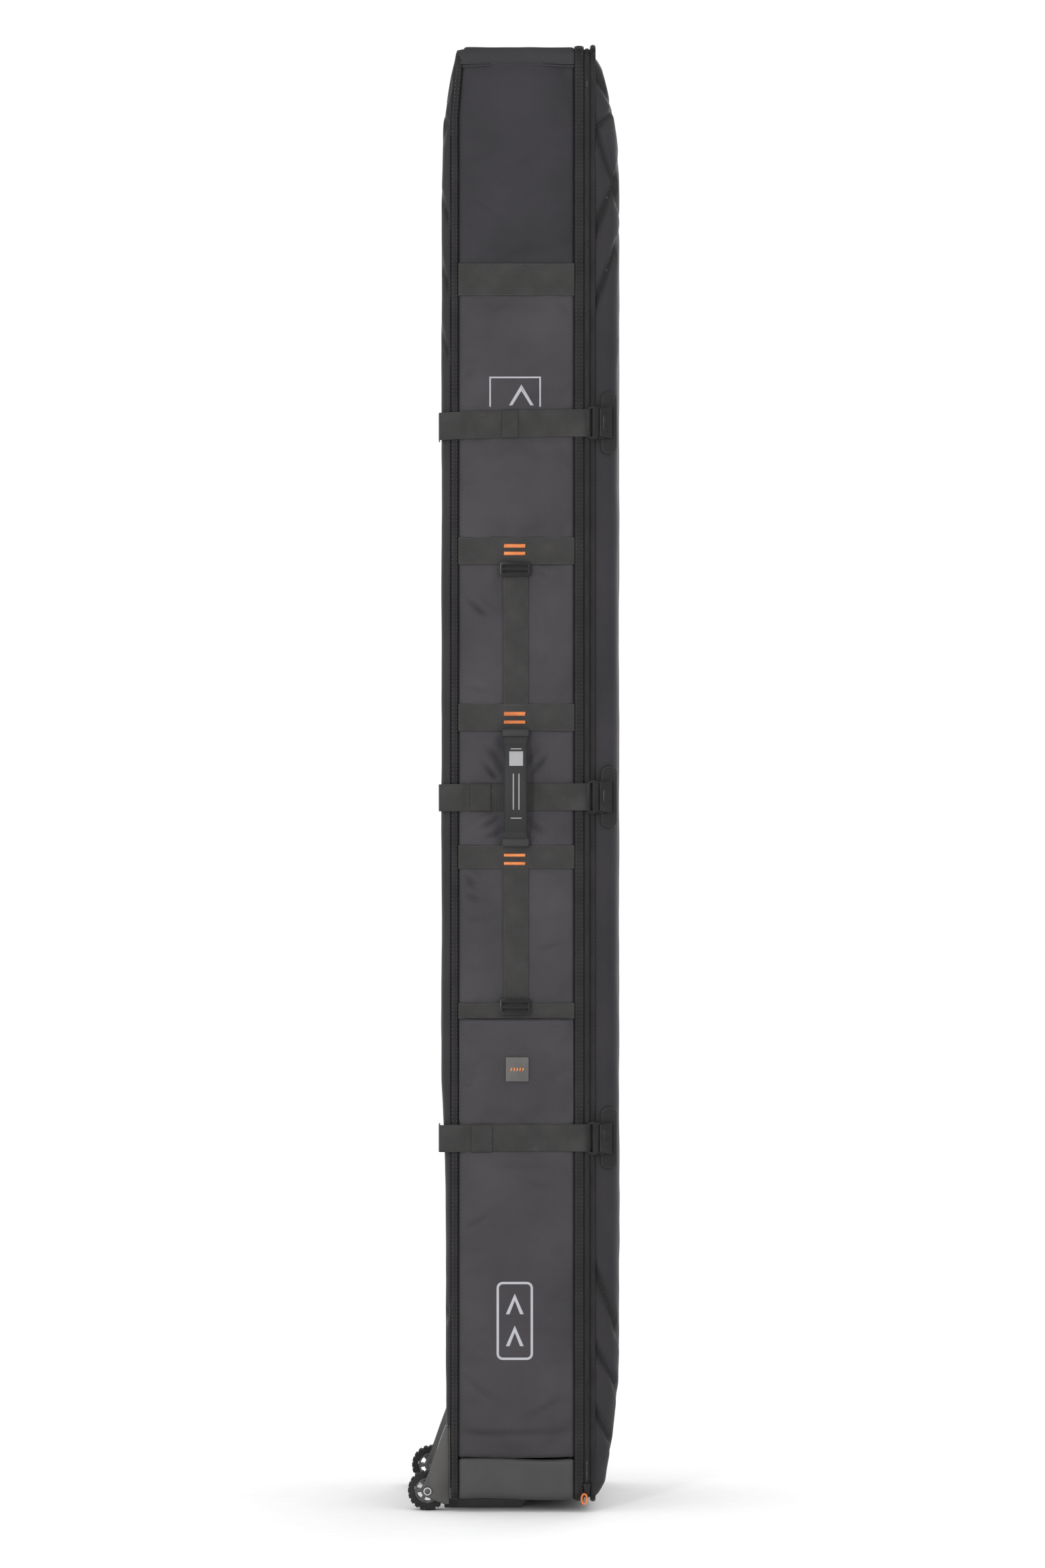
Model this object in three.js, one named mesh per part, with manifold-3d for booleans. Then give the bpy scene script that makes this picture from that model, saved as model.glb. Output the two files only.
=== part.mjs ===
// A wheeled, padded board bag, standing on its wheel end.
// Millimetres. +Z runs along the bag from the wheels to the tow handle, +X from the back panel to the lid,
// and +Y across the bag from the buckled side to the hinged side. The origin is under the middle, on the floor.
import * as THREE from 'three';
import { mergeVertices } from 'three/addons/utils/BufferGeometryUtils.js';
import Module from 'manifold-3d';

const manifold = await Module();
manifold.setup();

// ---- Driving dimensions ----
const bagWidth = 400;
const bagTop = 2111;
const bagBottom = 18;
const gussetBack = -88;
const gussetFront = 88.5;
const lidSeam = 111;
const backBulge = -105;
const lidBulge = 152;
const wallThickness = 12;
const lidWall = 14;
const webbingThickness = 1.7;
const gap = 0.3;

const nearFace = -bagWidth / 2;
const farFace = bagWidth / 2;
const nearInner = nearFace + wallThickness;
const farInner = farFace - wallThickness;
const bodyFront = lidSeam - 9;
const webbingTop = nearFace - gap;
const webbingFace = webbingTop - webbingThickness;

// ---- Finishes ----
const finish = (color, roughness, metalness = 0) =>
  new THREE.MeshStandardMaterial({ color, roughness, metalness });

const finishes = {
  fabric: finish(0x48464a, 0.85),
  coated: finish(0x4e4e4d, 0.5),
  webbing: finish(0x464642, 0.8),
  lining: finish(0x5a5a5c, 0.9),
  moulding: finish(0x585657, 0.55),
  gloss: finish(0x151516, 0.25),
  tyre: finish(0x1c1c1d, 0.85),
  rim: finish(0x303032, 0.5),
  steel: finish(0xc4c4c4, 0.3, 1),
  cord: finish(0xe1824a, 0.7),
  patch: finish(0x6f6f70, 0.6),
};

// ---- Shape helpers ----
const bag = new THREE.Group();

function add(name, geometry, material) {
  const mesh = new THREE.Mesh(geometry, material);
  mesh.name = name;
  bag.add(mesh);
}

// A flat outline pushed along one axis. Its own two directions are Y and Z for axis x, X and Z for
// axis y, and X and Y for axis z.
function prism(axis, outline, low, high, curveSegments = 4) {
  const geometry = new THREE.ExtrudeGeometry(outline, {
    depth: high - low,
    bevelEnabled: false,
    curveSegments,
  });
  const place = new THREE.Matrix4();
  if (axis === 'x') {
    place.makeBasis(new THREE.Vector3(0, 1, 0), new THREE.Vector3(0, 0, 1), new THREE.Vector3(1, 0, 0));
    place.setPosition(low, 0, 0);
  }
  if (axis === 'y') {
    place.makeBasis(new THREE.Vector3(1, 0, 0), new THREE.Vector3(0, 0, 1), new THREE.Vector3(0, -1, 0));
    place.setPosition(0, high, 0);
  }
  if (axis === 'z') place.setPosition(0, 0, low);
  return geometry.applyMatrix4(place);
}

function roundedRectangle(left, right, bottom, top, radius) {
  const outline = new THREE.Shape();
  outline.moveTo(left + radius, bottom);
  outline.lineTo(right - radius, bottom);
  outline.absarc(right - radius, bottom + radius, radius, -Math.PI / 2, 0);
  outline.lineTo(right, top - radius);
  outline.absarc(right - radius, top - radius, radius, 0, Math.PI / 2);
  outline.lineTo(left + radius, top);
  outline.absarc(left + radius, top - radius, radius, Math.PI / 2, Math.PI);
  outline.lineTo(left, bottom + radius);
  outline.absarc(left + radius, bottom + radius, radius, Math.PI, 1.5 * Math.PI);
  return outline;
}

function polygon(...points) {
  return new THREE.Shape(points.map(([across, up]) => new THREE.Vector2(across, up)));
}

function circle(across, up, radius) {
  const outline = new THREE.Shape();
  outline.absarc(across, up, radius, 0, 2 * Math.PI);
  return outline;
}

function box(x, y, z) {
  const geometry = new THREE.BoxGeometry(x[1] - x[0], y[1] - y[0], z[1] - z[0]);
  return geometry.translate((x[0] + x[1]) / 2, (y[0] + y[1]) / 2, (z[0] + z[1]) / 2);
}

// ---- Joining and cutting ----
function solid(geometry) {
  const bare = geometry.clone();
  bare.deleteAttribute('normal');
  bare.deleteAttribute('uv');
  const merged = mergeVertices(bare, 1e-3);
  return new manifold.Manifold(
    new manifold.Mesh({
      numProp: 3,
      vertProperties: merged.attributes.position.array,
      triVerts: new Uint32Array(merged.index.array),
    }),
  );
}

function geometryOf(made) {
  const mesh = made.getMesh();
  const geometry = new THREE.BufferGeometry();
  geometry.setAttribute('position', new THREE.BufferAttribute(mesh.vertProperties, 3));
  geometry.setIndex(new THREE.BufferAttribute(mesh.triVerts, 1));
  return geometry;
}

function joined(...geometries) {
  return geometryOf(geometries.map(solid).reduce((whole, piece) => whole.add(piece)));
}

function cut(geometry, ...cutters) {
  return geometryOf(cutters.map(solid).reduce((left, cutter) => left.subtract(cutter), solid(geometry)));
}

// ---- Padded tub: back panel, two side gussets and two end panels ----
const tailTop = 121;

const shoulder = 2010;
const topBack = -80;

function backPanel() {
  const inner = gussetBack - gap;
  const outline = polygon(
    [inner, tailTop + 3],
    [inner, shoulder],
    [topBack - 1.4, 2100],
    [topBack - 4, 2104],
    [-90.3, 2073],
    [-96.7, 2037],
    [-102.5, 1984],
    [backBulge, 1890],
    [backBulge, 590],
    [-100, 500],
    [-98, tailTop + 3],
  );
  return prism('y', outline, nearFace + 4, farFace - 4);
}

const bootTop = 78;

function addTub() {
  add('back_panel', backPanel(), finishes.fabric);
  const sides = { near: [nearFace, nearInner - gap], far: [farInner + gap, farFace] };
  const panel = polygon(
    [gussetBack, bootTop + gap],
    [gussetFront, bootTop + gap],
    [gussetFront, bagTop],
    [topBack, bagTop],
    [gussetBack, shoulder],
  );
  for (const [side, across] of Object.entries(sides)) {
    const binding = roundedRectangle(gussetFront + gap, bodyFront, across[0], across[1], 5);
    add(`gusset_${side}`, prism('y', panel, ...across), finishes.fabric);
    add(`boot_${side}`, box([gussetBack, gussetFront], across, [bagBottom, bootTop]), finishes.coated);
    add(`binding_${side}`, prism('z', binding, bagBottom, bagTop + 2), finishes.webbing);
  }
  const between = [nearInner, farInner];
  add('end_top', box([topBack + 0.5, bodyFront], between, [bagTop - 16, bagTop - 4]), finishes.fabric);
  add('end_bottom', box([gussetBack, bodyFront], between, [bagBottom, bagBottom + wallThickness]), finishes.coated);
}
addTub();

// ---- Moulded tail: back plate, base plate, skid rail and two wheel forks ----
const wheelRadius = 28.5;
const wheelX = -123.5;
const wheelZ = wheelRadius;
const wheelSpacing = 330;
const tyreWidth = 24;
const plateFace = gussetBack - gap - 4;
const baseHalfWidth = 140;
const railHalfWidth = 30;
const baseTop = bagBottom - gap;
const axleRadius = 4;
const cheekThickness = 4.5;
const cheekOffset = tyreWidth / 2 + 1.5;

function cheekOutline() {
  const outline = new THREE.Shape();
  outline.moveTo(plateFace - gap, 10);
  outline.lineTo(plateFace - gap, tailTop);
  outline.lineTo(-98, tailTop);
  outline.lineTo(-108, 94);
  outline.lineTo(-120, 59.5);
  outline.lineTo(wheelX - 8, 34);
  outline.absarc(wheelX, wheelZ, 8.5, 0.8 * Math.PI, 1.45 * Math.PI, false);
  outline.lineTo(-100, 10);
  return outline;
}

function fork(middle) {
  const left = [middle - cheekOffset - cheekThickness, middle - cheekOffset];
  const right = [middle + cheekOffset, middle + cheekOffset + cheekThickness];
  const web = polygon([plateFace - gap, 66], [plateFace - gap, tailTop], [-98, tailTop], [-108, 94], [-111, 84]);
  const whole = joined(
    prism('y', cheekOutline(), ...left),
    prism('y', cheekOutline(), ...right),
    prism('y', web, left[0], right[1]),
  );
  const bore = prism('y', circle(wheelX, wheelZ, axleRadius + gap), left[0] - 1, right[1] + 1, 10);
  return cut(whole, bore);
}

function axle(middle, outward) {
  const half = cheekOffset + cheekThickness;
  const pin = prism('y', circle(wheelX, wheelZ, axleRadius), middle - half - 1, middle + half + 1, 10);
  const headStart = middle + outward * (half + gap);
  const headEnd = headStart + outward * 3;
  const head = prism('y', circle(wheelX, wheelZ, 6.3), Math.min(headStart, headEnd), Math.max(headStart, headEnd), 10);
  return joined(pin, head);
}

function addTail() {
  const plateY = [nearFace + 14, farFace - 14];
  add('tail_plate', box([plateFace, gussetBack - gap], plateY, [bagBottom, tailTop]), finishes.moulding);
  const base = polygon([-100, 0], [12, 0], [25, baseTop], [-100, baseTop]);
  add('base_plate', prism('y', base, -baseHalfWidth, baseHalfWidth), finishes.moulding);
  const rail = polygon([25 + gap, 0], [94, 0], [100, baseTop], [25 + gap, baseTop]);
  add('skid_rail', prism('y', rail, -railHalfWidth, railHalfWidth), finishes.moulding);
  for (const [side, outward] of [['near', -1], ['far', 1]]) {
    const middle = (outward * wheelSpacing) / 2;
    add(`fork_${side}`, fork(middle), finishes.moulding);
    add(`axle_${side}`, axle(middle, outward), finishes.steel);
  }
}
addTail();

// ---- Wheels: lugged tyre on a spoked rim with a plain bush ----
const rimRadius = 19;
const bushRadius = 6.6;
const lugCount = 20;
const spokeCount = 6;

function tyre(middle) {
  const outline = new THREE.Shape();
  for (let lug = 0; lug < lugCount; lug += 1) {
    const corners = [[0, wheelRadius], [0.55, wheelRadius], [0.65, wheelRadius - 2], [0.92, wheelRadius - 2]];
    for (const [part, radius] of corners) {
      const angle = ((lug + part) / lugCount) * 2 * Math.PI - Math.PI / 2 - Math.PI * 0.55 / lugCount;
      const point = [wheelX + radius * Math.cos(angle), wheelZ + radius * Math.sin(angle)];
      if (lug === 0 && part === 0) outline.moveTo(...point);
      else outline.lineTo(...point);
    }
  }
  outline.holes.push(circle(wheelX, wheelZ, rimRadius + gap));
  return prism('y', outline, middle - tyreWidth / 2, middle + tyreWidth / 2, 12);
}

function rim(middle) {
  const outline = circle(wheelX, wheelZ, rimRadius);
  outline.holes.push(circle(wheelX, wheelZ, bushRadius + gap));
  for (let spoke = 0; spoke < spokeCount; spoke += 1) {
    const start = (spoke / spokeCount) * 2 * Math.PI + 0.2;
    const end = ((spoke + 1) / spokeCount) * 2 * Math.PI - 0.2;
    const window = new THREE.Path();
    window.absarc(wheelX, wheelZ, rimRadius - 3, start, end, false);
    window.absarc(wheelX, wheelZ, bushRadius + 3, end, start, true);
    outline.holes.push(window);
  }
  return prism('y', outline, middle - tyreWidth / 2 + 2, middle + tyreWidth / 2 - 2, 8);
}

function bush(middle) {
  const outline = circle(wheelX, wheelZ, bushRadius);
  outline.holes.push(circle(wheelX, wheelZ, axleRadius + gap));
  return prism('y', outline, middle - tyreWidth / 2 - 1, middle + tyreWidth / 2 + 1, 10);
}

for (const [side, outward] of [['near', -1], ['far', 1]]) {
  const middle = (outward * wheelSpacing) / 2;
  add(`tyre_${side}`, tyre(middle), finishes.tyre);
  add(`rim_${side}`, rim(middle), finishes.rim);
  add(`wheel_bush_${side}`, bush(middle), finishes.moulding);
}

// ---- Lid: a shallow padded tray that swings on the far long edge ----
const lidBottom = 16.5;
const lidTop = bagTop + 2;

const lidOuter = [
  [lidSeam, lidBottom],
  [122, 24],
  [130.4, 41],
  [132.7, 60],
  [141, 107],
  [150, 180],
  [lidBulge, 230],
  [lidBulge, 1900],
  [149, 1968],
  [142, 2019],
  [126.5, 2083],
  [lidSeam, lidTop],
];
const lidInner = [
  [lidSeam, lidTop - lidWall],
  [114, 2078],
  [129, 2010],
  [lidBulge - lidWall, 1900],
  [lidBulge - lidWall, 230],
  [127, 107],
  [118, 48],
  [lidSeam, lidBottom + lidWall],
];

function addLid() {
  const wallOutline = polygon(...lidOuter);
  add('lid_wall_near', prism('y', wallOutline, nearFace, nearInner - gap), finishes.fabric);
  add('lid_wall_far', prism('y', wallOutline, farInner + gap, farFace), finishes.fabric);
  add('lid_face', prism('y', polygon(...lidOuter, ...lidInner), nearInner, farInner), finishes.fabric);
  const dividerFront = lidBulge - lidWall - 3;
  add(
    'divider_pad',
    prism('x', roundedRectangle(-170, 170, 240, 1880, 60), dividerFront - 6, dividerFront),
    finishes.lining,
  );
}
addLid();

// ---- Main zip along the near side, its slider and its cord pull ----
const zipMiddle = (bodyFront + lidSeam) / 2;
const sliderBottom = 26;
const sliderTop = 42;
const sliderInner = nearFace - 1.3;

function addZip() {
  const zipY = [nearFace, nearFace + 4];
  const zipZ = [sliderBottom, bagTop - 15];
  add('zip_tape_body', box([bodyFront + gap, zipMiddle - gap], zipY, zipZ), finishes.webbing);
  add('zip_tape_lid', box([zipMiddle + gap, lidSeam - gap], zipY, zipZ), finishes.webbing);
  const slider = polygon(
    [zipMiddle - 3.5, sliderBottom],
    [zipMiddle + 3.5, sliderBottom],
    [zipMiddle + 5.5, sliderTop],
    [zipMiddle - 5.5, sliderTop],
  );
  add('zip_slider', prism('y', slider, sliderInner - 4, sliderInner), finishes.gloss);
  const pull = roundedRectangle(zipMiddle - 9.5, zipMiddle + 1.5, 11.5, 29, 4);
  add('zip_pull', prism('y', pull, sliderInner - 9, sliderInner - 5), finishes.cord);
}
addZip();

// ---- Sewn webbing on the near gusset ----
const bandHeights = [[1752, 1799], [1365, 1404.5], [1125, 1164.5], [927, 961], [711, 734]];
bandHeights.forEach(([bottom, top], index) => {
  const band = box([gussetBack + 9, gussetFront], [webbingFace, webbingTop], [bottom, top]);
  add(`band_${index + 1}`, band, finishes.webbing);
});

const handleMiddle = 3.5;
const handleHalfWidth = 16;

function addGussetWebbing() {
  const across = [handleMiddle - 18, handleMiddle + 18.5];
  const lyingOn = [webbingFace, webbingTop];
  add('webbing_upper', box(across, lyingOn, [bandHeights[2][1] + gap, 1349]), finishes.webbing);
  add('webbing_lower', box(across, lyingOn, [738, bandHeights[3][0] - gap]), finishes.webbing);
}
addGussetWebbing();

function ladderLock(bottom, top) {
  const outline = roundedRectangle(handleMiddle - 22, handleMiddle + 22, bottom, top, 4);
  const height = top - bottom;
  for (const part of [0.32, 0.68]) {
    const middle = bottom + height * part;
    outline.holes.push(roundedRectangle(handleMiddle - 18.5, handleMiddle + 18.5, middle - 1.8, middle + 1.8, 1.2));
  }
  return prism('y', outline, webbingFace - 5.8, webbingFace - 1.4);
}
add('ladder_lock_upper', ladderLock(1348, 1369), finishes.gloss);
add('ladder_lock_lower', ladderLock(717, 740), finishes.gloss);

// ---- Carry handle: a padded arch between two sewn folds ----
const handleEndLift = 9.5;
const handleLift = 27;
const handleThickness = 8;

function archOutline(low, high, base, outward) {
  const middle = (low + high) / 2;
  const control = 2 * handleLift - handleEndLift;
  const outline = new THREE.Shape();
  outline.moveTo(base + outward * handleEndLift, low);
  outline.quadraticCurveTo(base + outward * control, middle, base + outward * handleEndLift, high);
  outline.lineTo(base + outward * (handleEndLift + handleThickness), high);
  const outerControl = base + outward * (control + handleThickness);
  outline.quadraticCurveTo(outerControl, middle, base + outward * (handleEndLift + handleThickness), low);
  return outline;
}

function addCarryHandle() {
  const width = [handleMiddle - handleHalfWidth, handleMiddle + handleHalfWidth];
  const foldWidth = [handleMiddle - 19.5, handleMiddle + 19.5];
  const foldDepth = [webbingFace - handleEndLift - 4, webbingFace - gap];
  add('carry_handle', prism('x', archOutline(972, 1116, webbingFace, -1), ...width, 8), finishes.webbing);
  add('handle_fold_upper', box(foldWidth, foldDepth, [1116.6, 1128]), finishes.webbing);
  add('handle_fold_lower', box(foldWidth, foldDepth, [959, 971.4]), finishes.webbing);
}
addCarryHandle();

// ---- Tow handle across the top end, in the same webbing ----
const towHalfSpan = 75;
const towBase = bagTop - 4;

function towHandle() {
  const inner = 9.5;
  const lift = 17;
  const outline = new THREE.Shape();
  outline.moveTo(-towHalfSpan, towBase + inner);
  outline.quadraticCurveTo(0, towBase + 2 * lift - inner, towHalfSpan, towBase + inner);
  outline.lineTo(towHalfSpan, towBase + inner + 5);
  outline.quadraticCurveTo(0, towBase + 2 * lift - inner + 5, -towHalfSpan, towBase + inner + 5);
  return prism('y', outline, -15, 15, 8);
}
add('tow_handle', towHandle(), finishes.webbing);

// ---- Compression straps with their buckles ----
const strapHeights = { upper: [1549, 1588.5], middle: [1011, 1050], lower: [520, 559] };
const keeperSpans = { upper: [-16, 7], middle: [-62, -32], lower: [-60, -30] };
const strapEnd = 107;
const strapReturn = 60;

// The strap lies over the gusset and turns the corner onto the back panel.
function strap(heights, keeper) {
  const corner = backBulge - gap;
  const outer = corner - webbingThickness;
  const outline = polygon(
    [strapEnd, webbingTop],
    [corner, webbingTop],
    [corner, nearFace + strapReturn],
    [outer, nearFace + strapReturn],
    [outer, webbingFace + 3],
    [outer + 3, webbingFace],
    [strapEnd, webbingFace],
  );
  const loop = box(keeper, [webbingFace - 1.6, webbingFace + 0.5], [heights[0], heights[1]]);
  return joined(prism('z', outline, ...heights), loop);
}

const buckleInner = -204;
const buckleDepth = 10;
const tongueReach = 136;
const socketMouth = 124.5;
const socketEnd = 142;

// The tongue half: a rounded loop that carries the strap, a shoulder, two spring arms and a guide.
function buckleTongue(middle) {
  const loop = roundedRectangle(strapEnd, 123.5, middle - 24, middle + 24, 7);
  loop.holes.push(roundedRectangle(strapEnd + 4, strapEnd + 7.6, middle - 20, middle + 20, 1.5));
  const frame = prism('y', loop, buckleInner - 7.5, buckleInner - 0.5);
  const blade = [buckleInner - 5.5, buckleInner - 2.5];
  const prongs = [[-14, -9], [-2.5, 2.5], [9, 14]].map(([low, high]) =>
    box([121, tongueReach], blade, [middle + low, middle + high]),
  );
  return joined(frame, ...prongs);
}

// The socket half: a flat sleeve with a release window in each edge.
function buckleSocket(middle) {
  const outline = polygon(
    [socketMouth, middle - 20],
    [socketEnd, middle - 23],
    [socketEnd, middle + 23],
    [socketMouth, middle + 20],
  );
  const sleeve = prism('y', outline, buckleInner - buckleDepth, buckleInner);
  const hollowY = [buckleInner - buckleDepth + 1.5, buckleInner - 1.5];
  const hollow = box([socketMouth - 1, socketEnd - 3], hollowY, [middle - 17, middle + 17]);
  const window = box([129, 134], hollowY, [middle - 30, middle + 30]);
  return cut(sleeve, hollow, window);
}

// The reinforcement patch on the lid that the socket half is sewn to.
function lidTab(middle) {
  const outline = roundedRectangle(126, 149, middle - 45, middle + 45, 11);
  return prism('y', outline, nearFace - 2.6, nearFace - gap);
}

for (const [place, heights] of Object.entries(strapHeights)) {
  const middle = (heights[0] + heights[1]) / 2;
  add(`strap_${place}`, strap(heights, keeperSpans[place]), finishes.webbing);
  add(`buckle_tongue_${place}`, buckleTongue(middle), finishes.gloss);
  add(`buckle_socket_${place}`, buckleSocket(middle), finishes.gloss);
  add(`lid_tab_${place}`, lidTab(middle), finishes.webbing);
}

// ---- Flat pocket on the near gusset, open at the top, with a square rubber patch ----
const pocketTop = 709;
const pocketBottom = 566;
const pocketGap = 7;
const pocketPanel = 2.5;

function addPocket() {
  const side = [gussetBack + 10, gussetFront - 1];
  const outer = nearFace - pocketGap - pocketPanel;
  const pouch = box(side, [outer, webbingTop], [pocketBottom, pocketTop]);
  const hollow = box([side[0] + 4, side[1] - 4], [outer + pocketPanel, nearFace + 1], [pocketBottom + 5, pocketTop + 1]);
  add('pocket_front', cut(pouch, hollow), finishes.fabric);
  const patch = roundedRectangle(handleMiddle - 14, handleMiddle + 19, 621, 656, 1.5);
  add('rubber_patch', prism('y', patch, outer - 1.8, outer - gap), finishes.patch);
}
addPocket();

// ---- Inside: two webbing tie-downs with cam locks on the back panel ----
const tieDownHeights = { upper: [1481, 1519], lower: [601, 639] };

for (const [place, heights] of Object.entries(tieDownHeights)) {
  const inner = gussetBack + gap;
  const band = box([inner, inner + webbingThickness], [-160, 160], heights);
  const cam = box([inner + 1, inner + 11], [-20, 20], [heights[0] - 4, heights[1] + 4]);
  add(`tie_down_${place}`, joined(band, cam), finishes.webbing);
}

// ---- The whole bag, set with the origin under the middle of its outline ----
const handleFace = webbingFace - handleLift - handleThickness;
bag.position.y = -(handleFace + farFace) / 2;

const part = new THREE.Group();
part.add(bag);
export default part;
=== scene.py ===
# A wheeled, padded board bag standing on its wheel end. Metres, +Z up, lid towards +X, buckled side
# towards -Y.
import math

import bmesh
import bpy
from mathutils import Matrix, Vector, noise
from mathutils.bvhtree import BVHTree


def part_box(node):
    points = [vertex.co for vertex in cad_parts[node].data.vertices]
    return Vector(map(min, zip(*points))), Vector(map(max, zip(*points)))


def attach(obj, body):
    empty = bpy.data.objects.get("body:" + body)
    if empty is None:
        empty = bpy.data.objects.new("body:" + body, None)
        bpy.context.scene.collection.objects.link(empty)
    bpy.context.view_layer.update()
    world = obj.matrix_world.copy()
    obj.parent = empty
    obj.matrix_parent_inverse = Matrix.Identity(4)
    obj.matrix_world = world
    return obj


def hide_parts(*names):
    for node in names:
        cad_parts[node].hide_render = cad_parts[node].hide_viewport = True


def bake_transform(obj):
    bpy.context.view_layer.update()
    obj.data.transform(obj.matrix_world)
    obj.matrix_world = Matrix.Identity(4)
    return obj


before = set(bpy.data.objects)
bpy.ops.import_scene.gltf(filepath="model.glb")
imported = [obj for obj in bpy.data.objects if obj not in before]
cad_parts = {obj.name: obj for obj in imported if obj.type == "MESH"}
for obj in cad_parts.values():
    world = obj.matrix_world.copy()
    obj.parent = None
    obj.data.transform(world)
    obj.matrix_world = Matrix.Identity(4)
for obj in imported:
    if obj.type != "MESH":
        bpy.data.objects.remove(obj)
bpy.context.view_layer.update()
mm = 0.001
scene = bpy.context.scene

# ---- Studio ----
# A pale seamless floor under soft, even light, with the camera level with the middle of the bag and
# square to its narrow buckled side.
near_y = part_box("gusset_near")[0].y
far_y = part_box("gusset_far")[1].y

camera_data = bpy.data.cameras.new("camera")
camera = bpy.data.objects.new("camera", camera_data)
camera_distance = 8.8
view_height = 2.258
view_middle_x = 0.0136
view_middle_z = 1.049
camera.location = (view_middle_x, near_y - camera_distance, view_middle_z)
camera.rotation_euler = (math.radians(90), 0, 0)
camera_data.sensor_width = 36
camera_data.lens = camera_data.sensor_width * camera_distance / view_height
camera_data.clip_end = 200
scene.collection.objects.link(camera)
scene.camera = camera
scene.view_settings.view_transform = "Standard"

daylight = 1.06
world = bpy.data.worlds.new("studio")
scene.world = world
world.use_nodes = True
world.node_tree.nodes["Background"].inputs["Color"].default_value = (1, 1, 1, 1)
world.node_tree.nodes["Background"].inputs["Strength"].default_value = daylight


def soft_light(name, place, aim, size, power):
    data = bpy.data.lights.new(name, "AREA")
    data.shape = "RECTANGLE"
    data.size, data.size_y = size
    data.energy = power
    light = bpy.data.objects.new(name, data)
    light.location = place
    light.rotation_euler = (Vector(aim) - Vector(place)).to_track_quat("-Z", "Y").to_euler()
    scene.collection.objects.link(light)


soft_light("key", (-1.5, -4.7, 1.7), (0, 0, 1.0), (0.3, 2.2), 62)
soft_light("fill", (2.4, -4.2, 1.3), (0, 0, 1.0), (0.4, 2.2), 10)
soft_light("behind", (1.5, 3.6, 2.8), (0, 0, 1.2), (2.0, 2.4), 40)

floor_size = 110
bpy.ops.mesh.primitive_plane_add(size=floor_size, location=(0, 0, 0))
floor = bpy.context.object
floor.name = "studio_floor"


# ---- Shared surface effects ----
# Small node groups that the materials place with their own values: a woven ground with a twill line, a
# ripstop grid and painted glints, the ribs of flat webbing, and the fine grain and scuffs of moulded plastic.
def new_group(name, inputs, outputs):
    group = bpy.data.node_groups.new(name, "ShaderNodeTree")
    for label, kind, value in inputs:
        socket = group.interface.new_socket(label, in_out="INPUT", socket_type=kind)
        if value is not None:
            socket.default_value = value
    for label, kind in outputs:
        group.interface.new_socket(label, in_out="OUTPUT", socket_type=kind)
    return group, group.nodes.new("NodeGroupInput"), group.nodes.new("NodeGroupOutput")


def math_node(tree, operation, first, second=None):
    node = tree.nodes.new("ShaderNodeMath")
    node.operation = operation
    for slot, value in enumerate((first, second)):
        if isinstance(value, (int, float)):
            node.inputs[slot].default_value = value
        elif value is not None:
            tree.links.new(value, node.inputs[slot])
    return node.outputs[0]


def noise_node(tree, vector, scale, detail=2.0):
    node = tree.nodes.new("ShaderNodeTexNoise")
    node.inputs["Scale"].default_value = scale
    node.inputs["Detail"].default_value = detail
    tree.links.new(vector, node.inputs["Vector"])
    return node.outputs["Fac"]


def wave_of(tree, value, pitch):
    turned = math_node(tree, "MULTIPLY", value, 2 * math.pi / pitch)
    return math_node(tree, "SINE", turned)


def weighed_sum(tree, *parts):
    """The sum of each (value, weight)."""
    total = None
    for value, weight in parts:
        part = math_node(tree, "MULTIPLY", value, weight)
        total = part if total is None else math_node(tree, "ADD", total, part)
    return total


def make_woven():
    """Thread height and shade of a twill cloth with a ripstop grid and painted glints, from a surface
    position in metres.
    """
    grid_pitch = 11 * mm
    grid_sharpness = 24
    painted_glint_above = 0.60
    inputs = [("Position", "NodeSocketVector", None), ("Thread", "NodeSocketFloat", 1.2 * mm)]
    outputs = [("Height", "NodeSocketFloat"), ("Shade", "NodeSocketFloat")]
    tree, start, end = new_group("woven_cloth", inputs, outputs)
    split = tree.nodes.new("ShaderNodeSeparateXYZ")
    tree.links.new(start.outputs["Position"], split.inputs[0])
    pace = math_node(tree, "DIVIDE", 2 * math.pi, start.outputs["Thread"])
    across = math_node(tree, "SINE", math_node(tree, "MULTIPLY", split.outputs[0], pace))
    diagonal = math_node(tree, "ADD", split.outputs[0], split.outputs[1])
    twill = math_node(tree, "SINE", math_node(tree, "MULTIPLY", diagonal, pace))
    lines = []
    for direction in (0, 1):
        wave = math_node(tree, "ABSOLUTE", wave_of(tree, split.outputs[direction], grid_pitch))
        lines.append(math_node(tree, "POWER", wave, grid_sharpness))
    grid = math_node(tree, "MAXIMUM", *lines)
    weave = math_node(tree, "ADD", across, twill)
    tree.links.new(weighed_sum(tree, (weave, 0.25), (grid, 0.12)), end.inputs["Height"])
    blotch = noise_node(tree, start.outputs["Position"], 7.0, 5.0)
    fleck = noise_node(tree, start.outputs["Position"], 900.0, 1.0)
    # Painted highlights: sparse bright specks along the twill lighten the colour as glints.
    painted_glint = math_node(tree, "MULTIPLY", math_node(tree, "GREATER_THAN", fleck, painted_glint_above), twill)
    shade = weighed_sum(tree, (blotch, 0.72), (fleck, 0.28), (grid, 0.035), (painted_glint, 0.22), (twill, 0.07))
    tree.links.new(shade, end.inputs["Shade"])
    return tree


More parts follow.
